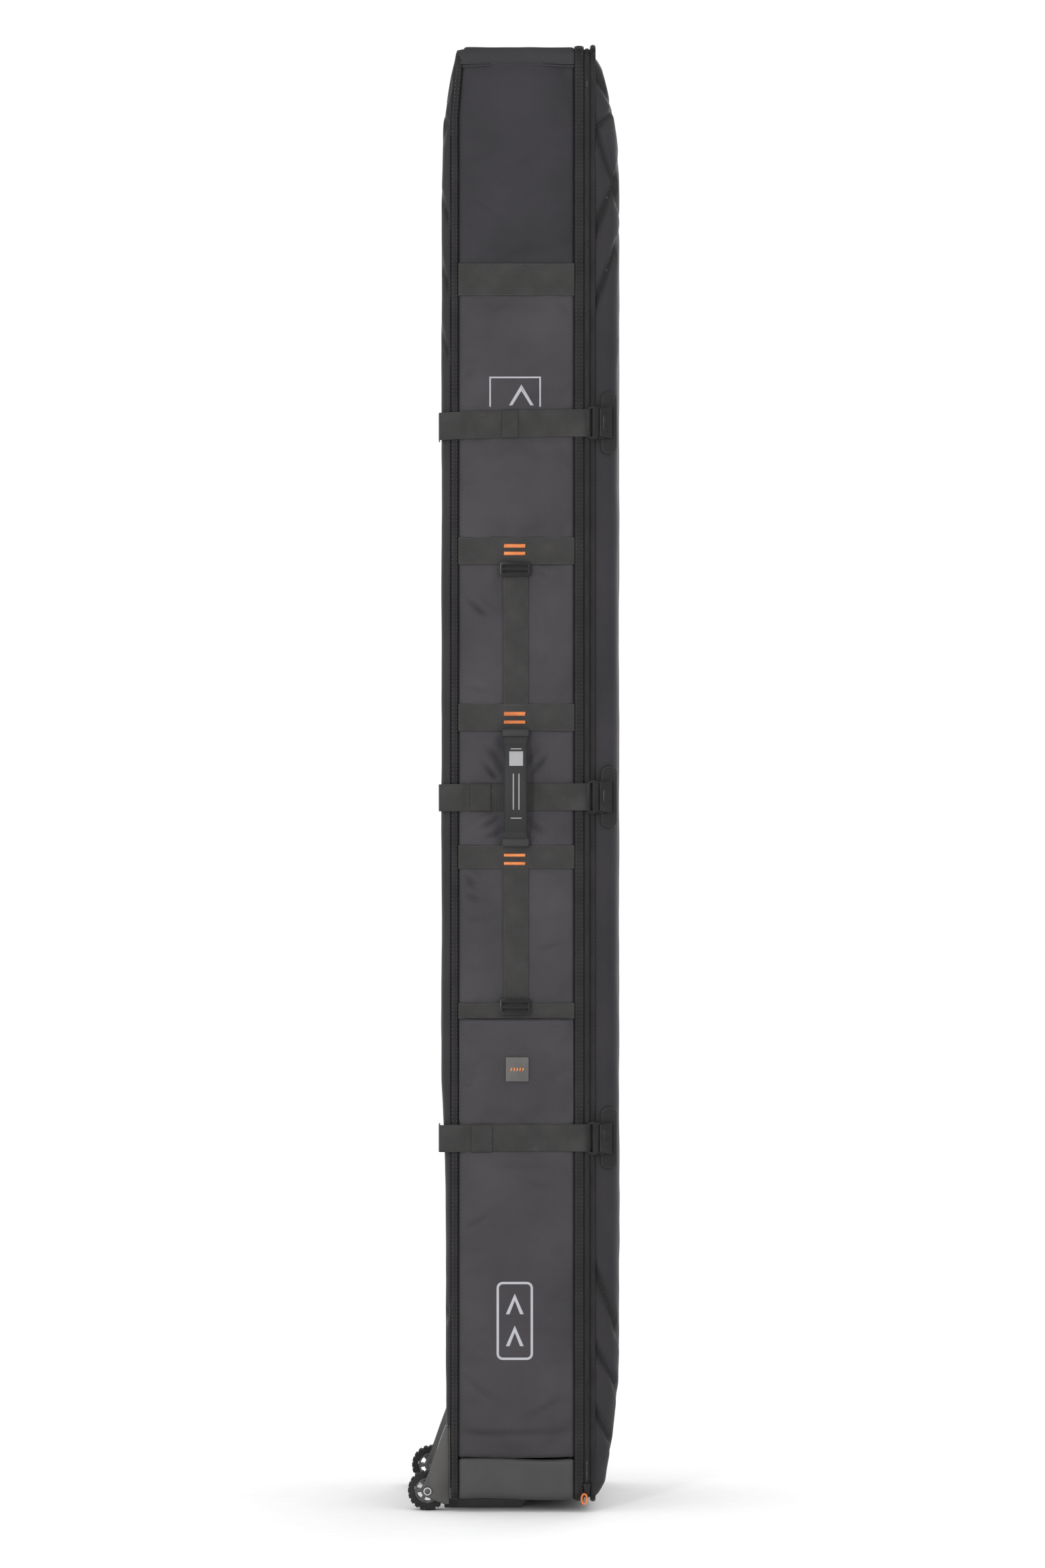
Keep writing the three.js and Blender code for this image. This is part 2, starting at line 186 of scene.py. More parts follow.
def make_ribbed():
    """Rib height and shade of flat webbing: ribs run along it, picks cross it."""
    rib_pitch = 2.1 * mm
    pick_pitch = 1.3 * mm
    inputs = [("Position", "NodeSocketVector", None)]
    outputs = [("Height", "NodeSocketFloat"), ("Shade", "NodeSocketFloat")]
    tree, start, end = new_group("ribbed_webbing", inputs, outputs)
    split = tree.nodes.new("ShaderNodeSeparateXYZ")
    tree.links.new(start.outputs["Position"], split.inputs[0])
    ribs = wave_of(tree, split.outputs[0], rib_pitch)
    picks = wave_of(tree, split.outputs[1], pick_pitch)
    checked = math_node(tree, "MULTIPLY", ribs, picks)
    height = weighed_sum(tree, (ribs, 0.35), (checked, 0.3))
    tree.links.new(height, end.inputs["Height"])
    blotch = noise_node(tree, start.outputs["Position"], 22.0, 4.0)
    tree.links.new(weighed_sum(tree, (height, 0.22), (blotch, 1.0)), end.inputs["Shade"])
    return tree


def make_moulded():
    """Grain and scuffs of moulded plastic or rubber."""
    inputs = [("Position", "NodeSocketVector", None)]
    outputs = [("Height", "NodeSocketFloat"), ("Scuff", "NodeSocketFloat")]
    tree, start, end = new_group("moulded_grain", inputs, outputs)
    fine = noise_node(tree, start.outputs["Position"], 1800.0, 2.0)
    tree.links.new(fine, end.inputs["Height"])
    broad = noise_node(tree, start.outputs["Position"], 35.0, 5.0)
    tree.links.new(broad, end.inputs["Scuff"])
    return tree


woven = make_woven()
ribbed = make_ribbed()
moulded = make_moulded()


def mix_colours(tree, factor, dark, light):
    """Between two colours, over the range that the shared groups' shades mostly keep to."""
    node = tree.nodes.new("ShaderNodeValToRGB")
    ends = (0.36, dark), (0.70, light)
    for element, (position, colour) in zip(node.color_ramp.elements, ends):
        element.position = position
        element.color = (*colour, 1)
    tree.links.new(factor, node.inputs[0])
    return node.outputs[0]


def surface(
    name, group, dark, light, roughness, bump,
    source="UV", sheen=0.0, metallic=0.0, thread=None, pressed=False, shine=0.35,
):
    """A Principled material with its colour, roughness and bump driven by one of the shared groups.
    A pressed one gets painted shade: its colour darkens where the piece's own pressed attribute marks a
    crease."""
    roughness_spread = 0.08
    painted_shade_factor = 0.35
    material = bpy.data.materials.new(name)
    material.use_nodes = True
    tree = material.node_tree
    shader = tree.nodes["Principled BSDF"]
    where = tree.nodes.new("ShaderNodeTexCoord")
    effect = tree.nodes.new("ShaderNodeGroup")
    effect.node_tree = group
    tree.links.new(where.outputs[source], effect.inputs["Position"])
    if thread:
        effect.inputs["Thread"].default_value = thread
    shade = effect.outputs[1]
    colour = mix_colours(tree, shade, dark, light)
    # Painted shade: the colour is darkened in pressed seams and folds, where shade falls.
    if pressed:
        crease_shade_node = tree.nodes.new("ShaderNodeAttribute")
        crease_shade_node.attribute_name = "pressed"
        painted_crease_shade_mix = tree.nodes.new("ShaderNodeMix")
        painted_crease_shade_mix.data_type = "RGBA"
        painted_crease_shade_mix.inputs["B"].default_value = (*(painted_shade_factor * part for part in dark), 1)
        tree.links.new(crease_shade_node.outputs["Fac"], painted_crease_shade_mix.inputs["Factor"])
        tree.links.new(colour, painted_crease_shade_mix.inputs["A"])
        colour = painted_crease_shade_mix.outputs["Result"]
    tree.links.new(colour, shader.inputs["Base Color"])
    rough = tree.nodes.new("ShaderNodeMapRange")
    rough.inputs["To Min"].default_value = roughness - roughness_spread
    rough.inputs["To Max"].default_value = roughness + roughness_spread
    tree.links.new(shade, rough.inputs["Value"])
    tree.links.new(rough.outputs[0], shader.inputs["Roughness"])
    relief = tree.nodes.new("ShaderNodeBump")
    relief.inputs["Strength"].default_value = 0.6
    relief.inputs["Distance"].default_value = bump
    tree.links.new(effect.outputs["Height"], relief.inputs["Height"])
    tree.links.new(relief.outputs[0], shader.inputs["Normal"])
    shader.inputs["Metallic"].default_value = metallic
    shader.inputs["Specular IOR Level"].default_value = shine
    if sheen:
        shader.inputs["Sheen Weight"].default_value = sheen
        shader.inputs["Sheen Roughness"].default_value = 0.4
    return material


pale = surface("pale_floor", moulded, (0.93, 0.93, 0.93), (0.95, 0.95, 0.95), 0.9, 0.01 * mm, "Object")
floor.data.materials.append(pale)


# ---- Padded gussets ----
# The tall narrow panel that carries all the webbing: ripstop face over closed-cell foam, lined inside, and
# held flat where the bands and straps cross it, so that it swells a little between them. The far gusset
# is its twin without webbing.
fabric = surface(
    "ripstop", woven, (0.023, 0.021, 0.0245), (0.049, 0.0445, 0.051), 0.6, 0.3 * mm,
    sheen=0.12, pressed=True,
)
# Painted shade: the near gusset's cloth above its top band is darker, standing in for the shade over the top
# of the bag.
shaded_upper_cloth = surface(
    "painted_shade_upper_ripstop", woven, (0.0125, 0.0115, 0.0145), (0.0285, 0.0255, 0.0315), 0.6, 0.3 * mm,
    sheen=0.1, pressed=True, shine=0.3,
)
lining = surface(
    "lining", woven, (0.07, 0.07, 0.074), (0.10, 0.10, 0.106), 0.75, 0.2 * mm, thread=1.6 * mm
)
tub_low, tub_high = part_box("gusset_near")
gusset_top = tub_high.z
shell_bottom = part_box("boot_near")[0].z
back_binding_width = 9 * mm
panel_left = tub_low.x + back_binding_width
panel_right = tub_high.x
shoulder_height = 2.01
shoulder_lean = 0.08
middle_y = (near_y + far_y) / 2
half_width = (far_y - near_y) / 2


def made_of(name, form):
    """A new object that holds the shape built in form."""
    mesh = bpy.data.meshes.new(name)
    form.to_mesh(mesh)
    form.free()
    piece = bpy.data.objects.new(name, mesh)
    scene.collection.objects.link(piece)
    return piece


def clamp(value):
    return min(max(value, 0), 1)


def ease(value):
    """From 0 to 1 with a soft start and a soft end."""
    value = clamp(value)
    return value * value * (3 - 2 * value)


def between(start, end, share):
    return start + share * (end - start)


def running_lengths(points):
    """How far each point lies along the line through them all."""
    lengths = [0.0]
    for start, end in zip(points, points[1:]):
        lengths.append(lengths[-1] + (end - start).length)
    return lengths


def sheet_of(name, columns, rows, place):
    """A grid placed by place(across, along), each from 0 to 1, with its surface distances in metres as UV."""
    form = bmesh.new()
    bmesh.ops.create_grid(form, x_segments=columns, y_segments=rows, size=0.5)
    spread = form.loops.layers.uv.new("cloth")
    share = {v: (v.co.x + 0.5, v.co.y + 0.5) for v in form.verts}
    for vert, (across, along) in share.items():
        vert.co = place(across, along)
    widths = running_lengths([Vector(place(column / columns, 0.5)) for column in range(columns + 1)])
    lengths = running_lengths([Vector(place(0.5, row / rows)) for row in range(rows + 1)])
    for face in form.faces:
        for corner in face.loops:
            across, along = share[corner.vert]
            corner[spread].uv = (widths[round(across * columns)], lengths[round(along * rows)])
    return made_of(name, form)


def puff(piece, held, pressure, slack, cap, frames=16):
    """Swells a sheet as cloth, holding the points where held() is 1, and limits how far a point moves."""
    group = piece.vertex_groups.new(name="held")
    start = [vert.co.copy() for vert in piece.data.vertices]
    for index, place in enumerate(start):
        group.add([index], held(place), "REPLACE")
    cloth = piece.modifiers.new("puff", "CLOTH")
    cloth.settings.vertex_group_mass = "held"
    cloth.settings.quality = 5
    cloth.settings.mass = 0.2
    cloth.settings.tension_stiffness = 12
    cloth.settings.compression_stiffness = 12
    cloth.settings.bending_stiffness = 0.4
    cloth.settings.use_pressure = True
    cloth.settings.uniform_pressure_force = pressure
    cloth.settings.shrink_min = -slack
    cloth.settings.effector_weights.gravity = 0
    cloth.point_cache.frame_start = 1
    cloth.point_cache.frame_end = frames
    for step in range(1, frames + 1):
        scene.frame_set(step)
    swollen = piece.evaluated_get(bpy.context.evaluated_depsgraph_get()).data
    moved = [vert.co.copy() for vert in swollen.vertices]
    piece.modifiers.remove(cloth)
    piece.vertex_groups.remove(group)
    for vert, before, after in zip(piece.data.vertices, start, moved):
        shift = after - before
        if shift.length > cap:
            shift *= cap / shift.length
        vert.co = before + shift
    scene.frame_set(1)


def line_back(piece, inner):
    """Closes a sheet into a lined panel: the sheet is its face, inner(place) gives the lining behind it."""
    form = bmesh.new()
    form.from_mesh(piece.data)
    made = bmesh.ops.extrude_face_region(form, geom=list(form.faces))["geom"]
    for vert in [part for part in made if isinstance(part, bmesh.types.BMVert)]:
        vert.co = inner(vert.co)
    for face in [part for part in made if isinstance(part, bmesh.types.BMFace)]:
        face.material_index = 1
    bmesh.ops.recalc_face_normals(form, faces=form.faces)
    for face in form.faces:
        face.smooth = True
    form.to_mesh(piece.data)
    form.free()


def refine(piece, levels=1):
    """Subdivides smoothly and keeps the result as the piece's own mesh."""
    rounder = piece.modifiers.new("rounder", "SUBSURF")
    rounder.levels = levels
    rounder.render_levels = levels
    whole = bpy.data.meshes.new_from_object(piece.evaluated_get(bpy.context.evaluated_depsgraph_get()))
    piece.modifiers.clear()
    piece.data = whole


def crease(piece, depth_at, deepest):
    """Moves each point inwards along its normal by depth_at(place), for seams and sewn channels, and keeps
    how far it is pressed as an attribute from which the cloth's colour gets painted shade in the creases."""
    shade_threshold = 0.35
    places = [vert.co.copy() for vert in piece.data.vertices]
    normals = [vert.normal.copy() for vert in piece.data.vertices]
    # The pressed attribute drives painted shade: the cloth's colour darkens in the creases.
    crease_shade_marks = piece.data.attributes.new("pressed", "FLOAT", "POINT")
    for vert, place, normal in zip(piece.data.vertices, places, normals):
        depth = depth_at(place)
        vert.co = place - normal * depth
        crease_shade_marks.data[vert.index].value = clamp((depth / deepest - shade_threshold) / (1 - shade_threshold))


def finish_piece(piece, body, materials, replaces=()):
    """Gives a piece its materials, the body it rides and the nodes it stands for. A piece given no body
    is left unattached."""
    sides = [face.material_index for face in piece.data.polygons]
    piece.data.materials.clear()
    for material in materials:
        piece.data.materials.append(material)
    for face, side in zip(piece.data.polygons, sides):
        face.material_index = min(side, len(materials) - 1)
    if body:
        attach(piece, body)
    if replaces:
        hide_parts(*replaces)
    return piece


def span_of(node, axis):
    low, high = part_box(node)
    return low[axis], high[axis]


band_numbers = range(1, 6)
crossings = [span_of(f"band_{number}", 2) for number in band_numbers]
crossings += [span_of(f"buckle_socket_{place}", 2) for place in ("upper", "middle", "lower")]


def is_crossed(height):
    """Whether a band or a strap crosses the gusset at this height."""
    return any(low - 2 * mm < height < high + 2 * mm for low, high in crossings)


def bump_between(value, low, high, edge):
    """1 well inside low..high and 0 outside, with a soft edge."""
    return ease((value - low) / edge) * ease((high - value) / edge)


end_fold = 24 * mm
webbing_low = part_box("webbing_lower")[0]
webbing_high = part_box("webbing_upper")[1]


def under_webbing(x, height):
    """1 where the upright webbing and the carry handle hold the near gusset down."""
    side_fade = 14 * mm
    end_fade = 40 * mm
    across = bump_between(x, webbing_low.x - side_fade, webbing_high.x + side_fade, side_fade)
    return across * bump_between(height, webbing_low.z - end_fade, webbing_high.z + end_fade, end_fade)


def gusset_panel(name, face_y, outward, bottom):
    """A side's swelling sheet, and how firmly each of its points is held."""
    swell_height = 3 * mm
    seam_width = 5 * mm
    end_seam = 4 * mm

    def place(across, along):
        height = between(bottom, gusset_top, along)
        left = panel_left + max(0, height - shoulder_height) * shoulder_lean
        reach = between(left, panel_right, across)
        swell = swell_height * bump_between(reach, left, panel_right, 30 * mm)
        swell *= bump_between(height, bottom - 30 * mm, gusset_top - end_fold, 40 * mm)
        if outward < 0:
            swell *= 1 - under_webbing(reach, height)
            swell *= 0 if is_crossed(height) else 1
        return (reach, face_y + outward * swell, height)

    def held(spot):
        edge = min(spot.x - panel_left, panel_right - spot.x)
        if edge < seam_width or spot.z < bottom + end_seam or spot.z > gusset_top - end_fold - end_seam:
            return 1
        if outward > 0:
            return 0
        return 1 if is_crossed(spot.z) else min(1, 1.2 * under_webbing(spot.x, spot.z))

    return sheet_of(name, 26, 280, place), held


# Drag folds in the near gusset, each by its middle's x and z and its length in millimetres, its turn from
# level in degrees and its depth. They gather at the ends of the webbing and run off the left seam.
drag_folds = [
    (-52, 1302, 62, -38, 2.2), (40, 1352, 34, -20, 1.4), (44, 1225, 26, 12, 1.0), (-50, 1182, 74, -8, 1.3),
    (-62, 1466, 50, 6, 1.0), (-30, 1064, 52, -52, 2.2), (-26, 1092, 40, -40, 1.6), (38, 1078, 48, 48, 1.8),
    (-34, 992, 44, 32, 2.0), (-28, 976, 40, 14, 1.6), (34, 984, 40, -28, 1.6), (-62, 908, 30, -40, 2.0),
    (-58, 884, 42, -24, 1.8), (-60, 852, 36, -10, 1.4), (-66, 1640, 44, 14, 1.0), (56, 1560, 46, -24, 1.0),
    (-50, 420, 80, 30, 1.0), (40, 468, 70, -18, 0.9), (-44, 172, 84, -38, 1.2), (48, 150, 60, 30, 1.0),
    (-40, 1880, 90, -32, 1.1), (30, 1952, 90, 24, 0.9), (-58, 780, 34, -30, 1.3), (52, 812, 50, 18, 1.1),
    (-30, 113, 110, -1, 1.4), (40, 114, 100, 2, 1.2),
]


def slack_depth(spot, size):
    """The gentle unevenness of cloth that is not pulled tight."""
    broad = noise.noise(Vector((spot.x * 14, spot.y * 9, spot.z * 6)))
    fine = noise.noise(Vector((spot.x * 40, spot.y * 28 + 5, spot.z * 22)))
    return size * (broad + 0.45 * fine)


def fold_depth(spot):
    """Each fold is a groove with a lip above it, fading out at both ends."""
    reach = 60 * mm
    groove_width = 4.5 * mm
    lip_width = 6 * mm
    lip_away = 9 * mm
    total = slack_depth(spot, 1.0 * mm)
    for x, z, length, turn, depth in drag_folds:
        right, up = spot.x - x * mm, spot.z - z * mm
        if abs(right) > reach or abs(up) > reach:
            continue
        angle = math.radians(turn)
        along = right * math.cos(angle) + up * math.sin(angle)
        across = up * math.cos(angle) - right * math.sin(angle)
        fade = math.exp(-((2 * along / (length * mm)) ** 2) * 1.6)
        groove = math.exp(-((across / groove_width) ** 2))
        lip = math.exp(-(((across - lip_away) / lip_width) ** 2))
        total += 1.7 * depth * mm * fade * (groove - 0.8 * lip)
    return total


def near_depth(spot):
    """The near face is creased between its seams, except where webbing lies over it."""
    if spot.y >= near_y + 6 * mm or is_crossed(spot.z):
        return 0
    return bump_between(spot.x, panel_left, panel_right, 12 * mm) * fold_depth(spot)


def far_depth(spot):
    if spot.y <= far_y - 6 * mm:
        return 0
    return bump_between(spot.x, panel_left, panel_right, 20 * mm) * slack_depth(spot, 1.6 * mm)


foam_thickness = 11.5 * mm
painted_shade_start = max(sum(span_of(f"band_{number}", 2)) / 2 for number in band_numbers)
sides = (("near", near_y, -1, near_depth, 4 * mm), ("far", far_y, 1, far_depth, 6 * mm))
for side, face_y, outward, depth_at, deepest in sides:
    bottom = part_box(f"gusset_{side}")[0].z
    panel, held = gusset_panel(f"padded_gusset_{side}", face_y, outward, bottom)
    if outward > 0:
        panel.data.flip_normals()
    puff(panel, held, pressure=3.0, slack=0.012, cap=5 * mm)
    inner_y = face_y - outward * foam_thickness
    line_back(panel, lambda spot: Vector((spot.x, inner_y, spot.z)))
    refine(panel)
    crease(panel, depth_at, deepest)
    # Faces above the top band take the darker cloth, as painted shade.
    for face in panel.data.polygons:
        if face.material_index == 0 and face.center.z > painted_shade_start:
            face.material_index = 2
    finish_piece(panel, "shell", [fabric, lining, shaded_upper_cloth], [f"gusset_{side}"])
near_cloth = bpy.data.objects["padded_gusset_near"]


# ---- Lid ----
# One padded shell that is sewn to its half of the zip, swells to its full depth between the ends and
# slopes back to the seam at both ends, where diagonal stitching quilts it.
# Painted shade: the lid and the back panel share a cloth darker than the gussets', for their sides that the
# light reaches less.
shaded_wall_cloth = surface(
    "painted_shade_ripstop", woven, (0.010, 0.009, 0.011), (0.026, 0.023, 0.028), 0.6, 0.3 * mm,
    sheen=0.08, pressed=True, shine=0.3,
)
lid_low = Vector((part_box("lid_face")[0].x, near_y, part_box("lid_face")[0].z))
lid_high = Vector((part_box("lid_face")[1].x, far_y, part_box("lid_face")[1].z))
lid_bottom_curve = [(0, 0), (7.5, 11), (24.5, 19.4), (43.5, 21.7), (90.5, 30), (163, 39), (215, 41)]
lid_top_curve = [(0, 0), (30, 15.5), (94, 31), (145, 38), (213, 41)]


def along_curve(points, value):
    """Height at value of the line through points, level past the last one."""
    for (x0, y0), (x1, y1) in zip(points, points[1:]):
        if value <= x1:
            return between(y0, y1, (value - x0) / (x1 - x0))
    return points[-1][1]


def lid_depth(height):
    """How far the lid stands out from its seam at this height."""
    from_bottom = along_curve(lid_bottom_curve, (height - lid_low.z) / mm)
    from_top = along_curve(lid_top_curve, (lid_high.z - height) / mm)
    return min(from_bottom, from_top) * mm


def shell_place(seam_x, direction, half_width, depth, corner, across):
    """A point of a lofted shell's cross-section, across from the near seam (0) to the far seam (1)."""
    corner = min(corner, depth * 0.9)
    wall = depth - corner
    arc = corner * math.pi / 2
    face = 2 * (half_width - corner)
    total = 2 * (wall + arc) + face
    run = across * total
    mirrored = run > total / 2
    run = min(run, total - run)
    if run < wall:
        out, side = run, half_width
    elif run < wall + arc:
        angle = (run - wall) / max(corner, 1e-9)
        out = wall + corner * math.sin(angle)
        side = half_width - corner + corner * math.cos(angle)
    else:
        out, side = depth, half_width - corner - (run - wall - arc)
    return seam_x + direction * out, middle_y + (side if mirrored else -side)


def quilted_height(along, low, high, share=0.4, reach=0.22):
    """Rows lie close together over both quilted ends, which take share of them each, and wider between."""
    if along < share:
        return between(low, high, reach * along / share)
    if along > 1 - share:
        return between(high, low, reach * (1 - along) / share)
    return between(low, high, between(reach, 1 - reach, (along - share) / (1 - 2 * share)))


def lid_place(across, along):
    height = quilted_height(along, lid_low.z, lid_high.z)
    depth = max(lid_depth(height), 0.2 * mm)
    x, y = shell_place(lid_low.x, 1, half_width, depth, 18 * mm, across)
    return (x, y, height)


# Each line is where it leaves the near seam, its slope over the side wall, and its slope over the face.
lid_quilting = [
    (2.078, -1.1, -0.7),
    (1.990, 0.7, 0.7),
    (2.010, -2.6, -0.8),
    (1.836, 2.1, 0.8),
    (1.732, 2.1, 0.8),
    (0.360, -2.2, -0.8),
    (0.244, -1.4, -0.8),
    (0.152, -1.4, -0.7),
]


channel_width = 6.5 * mm
wall_inward = 12 * mm


def quilting_height(line, out, inward):
    """The height of a quilting line, out from the seam and inward from the side."""
    start, wall_slope, face_slope = line
    wall_run = min(out + min(inward, 20 * mm) * 0.4, 45 * mm)
    return start + wall_slope * wall_run + face_slope * max(inward - wall_inward, 0)


def quilt_depth(spot, seam_x, direction, lines, depth):
    """How deep the stitched channels press at a point of a shell."""
    out = direction * (spot.x - seam_x)
    inward = half_width - abs(spot.y - middle_y)
    pressed = 0.0
    for line in lines:
        slope = line[1] if inward < wall_inward else line[2]
        away = (spot.z - quilting_height(line, out, inward)) / math.hypot(1, slope)
        if abs(away) < 4 * channel_width:
            pressed = max(pressed, math.exp(-((away / channel_width) ** 2)))
    return depth * pressed


lid = sheet_of("padded_lid", 56, 216, lid_place)


def lid_held(spot):
    return 1 if spot.x < lid_low.x + 5 * mm else 0


puff(lid, lid_held, pressure=2.5, slack=0.012, cap=2 * mm)


def lid_lining(spot):
    """The lining lies one padding thickness inside the face, and on the seam at the ends."""
    thick = 12 * mm
    x = max(spot.x - thick, lid_low.x)
    y = min(max(spot.y, near_y + thick), far_y - thick)
    z = min(max(spot.z, lid_low.z + thick), lid_high.z - thick)
    return Vector((x, y, z))


line_back(lid, lid_lining)
refine(lid)
quilt_press = 5 * mm


def lid_press(spot):
    """The channels, and the slack of the cloth away from the zip seam."""
    away = clamp((spot.x - lid_low.x - 12 * mm) / (14 * mm))
    return quilt_depth(spot, lid_low.x, 1, lid_quilting, quilt_press) + away * slack_depth(spot, 1.5 * mm)


crease(lid, lid_press, quilt_press)
finish_piece(lid, "lid", [shaded_wall_cloth, lining], ["lid_face", "lid_wall_near", "lid_wall_far"])


# ---- Back panel ----
# The padded panel that lies against the traveller's side, a shallow shell sewn to the back edge of the
# gussets, quilted at its top and ending above the moulded tail.
back_low, back_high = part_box("back_panel")
back_seam = -88 * mm
back_curve = [
    (124, 10), (500, 12), (590, 15.5), (620, 17), (1890, 17),
    (1984, 14.5), (2037, 11), (2073, 7), (2104, 2),
]


def back_edge(height):
    """The seam leans in towards the lid above the shoulder."""
    return back_seam + max(0, height - shoulder_height) * shoulder_lean


def back_depth(height):
    return along_curve(back_curve, height / mm) * mm


def back_place(across, along):
    height = between(back_low.z, back_high.z, along)
    x, y = shell_place(back_edge(height), -1, half_width - 1 * mm, back_depth(height), 11 * mm, across)
    return (x, y, height)


back_quilting = [
    (2.060, -1.6, -0.8),
    (1.985, 1.6, 0.7),
    (2.028, -2.4, -0.7),
    (1.850, 2.0, 0.7),
    (1.752, 2.0, 0.7),
    (1.655, 2.0, 0.7),
    (0.300, -1.5, -0.6),
]
back_channel = 4 * mm
back = sheet_of("padded_back", 48, 200, back_place)


def back_held(spot):
    at_seam = spot.x > back_edge(spot.z) - 3 * mm
    at_end = spot.z < back_low.z + 4 * mm or spot.z > back_high.z - 4 * mm
    return 1 if at_seam or at_end else 0


puff(back, back_held, pressure=2.0, slack=0.010, cap=1.5 * mm)


def back_lining(spot):
    """The lining is flat, and follows the leaning seam at the top."""
    y = min(max(spot.y, near_y + 12 * mm), far_y - 12 * mm)
    return Vector((max(spot.x, back_edge(spot.z)) - 0.3 * mm, y, spot.z))


line_back(back, back_lining)
refine(back)


def back_press(spot):
    """The channels and the slack of the cloth, both away from the seam."""
    away = clamp((back_edge(spot.z) - spot.x - 2 * mm) / (5 * mm))
    channels = quilt_depth(spot, back_seam, -1, back_quilting, back_channel)
    return away * (channels + slack_depth(spot, 1.3 * mm))


crease(back, back_press, back_channel)
finish_piece(back, "shell", [shaded_wall_cloth, lining], ["back_panel"])


# ---- Top end panel ----
# The narrow end, of plain dark cloth cut a little convex. Its edge is folded over both gussets and
# stitched down under a narrow hem.
dark_cloth = surface(
    "end_cloth", woven, (0.015, 0.0138, 0.0155), (0.027, 0.0248, 0.0275), 0.62, 0.2 * mm, sheen=0.08
)
top_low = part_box("end_top")[0]
top_proud = 0.9 * mm
top_bow = 3 * mm


def folded_end(across, along, left, level, bow, drop, outwards):
    """A panel that lies over an end of the bag and folds over both gussets by drop. bow gives how far
    it stands out at each share of its width."""
    corner = 6 * mm
    half = half_width + top_proud
    arc = corner * math.pi / 2
    face = 2 * (half - corner)
    total = 2 * (drop - corner + arc) + face
    run = across * total
    mirrored = run > total / 2
    run = min(run, total - run)
    wall = drop - corner
    if run < wall:
        side, rise = half, run - drop
    elif run < wall + arc:
        angle = (run - wall) / corner
        side = half - corner + corner * math.cos(angle)
        rise = -corner + corner * math.sin(angle)
    else:
        side, rise = half - corner - (run - wall - arc), 0
    z = level + outwards * (rise + bow(2 * along - 1))
    return (between(left, panel_right, along), middle_y + (side if mirrored else -side), z)


def convex(share):
    return top_bow * (1 - share * share)


def top_place(across, along):
    return folded_end(across, along, top_low.x, gusset_top - top_bow, convex, end_fold, 1)


def top_lining(spot):
    """The lining lies under the panel, and against the gussets where the edge is folded over them."""
    y = min(max(spot.y, near_y + 0.2 * mm), far_y - 0.2 * mm)
    on_top = abs(spot.y - middle_y) < half_width - 7 * mm
    z = min(spot.z, top_low.z + 1 * mm if on_top else gusset_top - 2 * mm)
    return Vector((spot.x, y, z))


top_panel = sheet_of("top_end_panel", 60, 20, top_place)
line_back(top_panel, top_lining)
refine(top_panel)
finish_piece(top_panel, "shell", [dark_cloth, lining], ["end_top"])

for side, face_y, outward in (("near", near_y, -1), ("far", far_y, 1)):
    def hem_place(across, along):
        angle = math.pi * across
        x = between(back_edge(gusset_top) + 6 * mm, panel_right, along)
        droop = 1.5 * mm * math.cos(math.pi * (2 * along - 1))
        y = face_y + outward * (top_proud + 1.1 * mm * math.sin(angle))
        return (x, y, gusset_top - top_bow - end_fold + droop - 1.5 * mm * math.cos(angle))

    hem = sheet_of(f"top_hem_{side}", 6, 40, hem_place)
    line_back(hem, lambda spot: spot - Vector((0, outward * 0.6 * mm, 0)))
    finish_piece(hem, "shell", [dark_cloth])


# ---- Coated boot ----
# Smooth coated cloth, folded like the top end, that wraps the wheel end: up both gussets to a sagging
# seam, and under the bottom.
coated = surface(
    "coated_cloth", moulded, (0.041, 0.041, 0.041), (0.048, 0.048, 0.048), 0.5, 0.12 * mm, "Object"
)
boot_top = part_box("boot_near")[1].z


def sagging(share):
    return 1.5 * mm * math.sin(3.1 * share)


def boot_place(across, along):
    return folded_end(across, along, panel_left, shell_bottom, sagging, boot_top - shell_bottom, -1)


def boot_lining(spot):
    y = min(max(spot.y, near_y + 10 * mm), far_y - 10 * mm)
    return Vector((spot.x, y, max(spot.z, shell_bottom + 11 * mm)))


boot = sheet_of("coated_boot", 70, 20, boot_place)
line_back(boot, boot_lining)
refine(boot)
finish_piece(boot, "shell", [coated, lining], ["boot_near", "boot_far", "end_bottom"])


# ---- Bindings, pipings and the zip ----
# Rolled edges run right round the bag on both sides of the zip. The coil zip lies in the groove between
# them on the near side and both ends, and a strip of cloth hinges the lid along the far side.
binding = surface(
    "rolled_binding", ribbed, (0.006, 0.0056, 0.006), (0.016, 0.015, 0.016), 0.6, 0.4 * mm,
    sheen=0.03, shine=0.25,
)
dark_tape = surface("zip_tape", ribbed, (0.008, 0.008, 0.008), (0.016, 0.016, 0.016), 0.7, 0.2 * mm)
zip_coil = surface(
    "zip_coil", moulded, (0.010, 0.010, 0.010), (0.022, 0.022, 0.022), 0.35, 0.02 * mm, "Object"
)
groove_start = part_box("binding_near")[1].x
groove_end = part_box("lid_wall_near")[0].x
zip_line = (groove_start + groove_end) / 2


ring_corner = 9 * mm


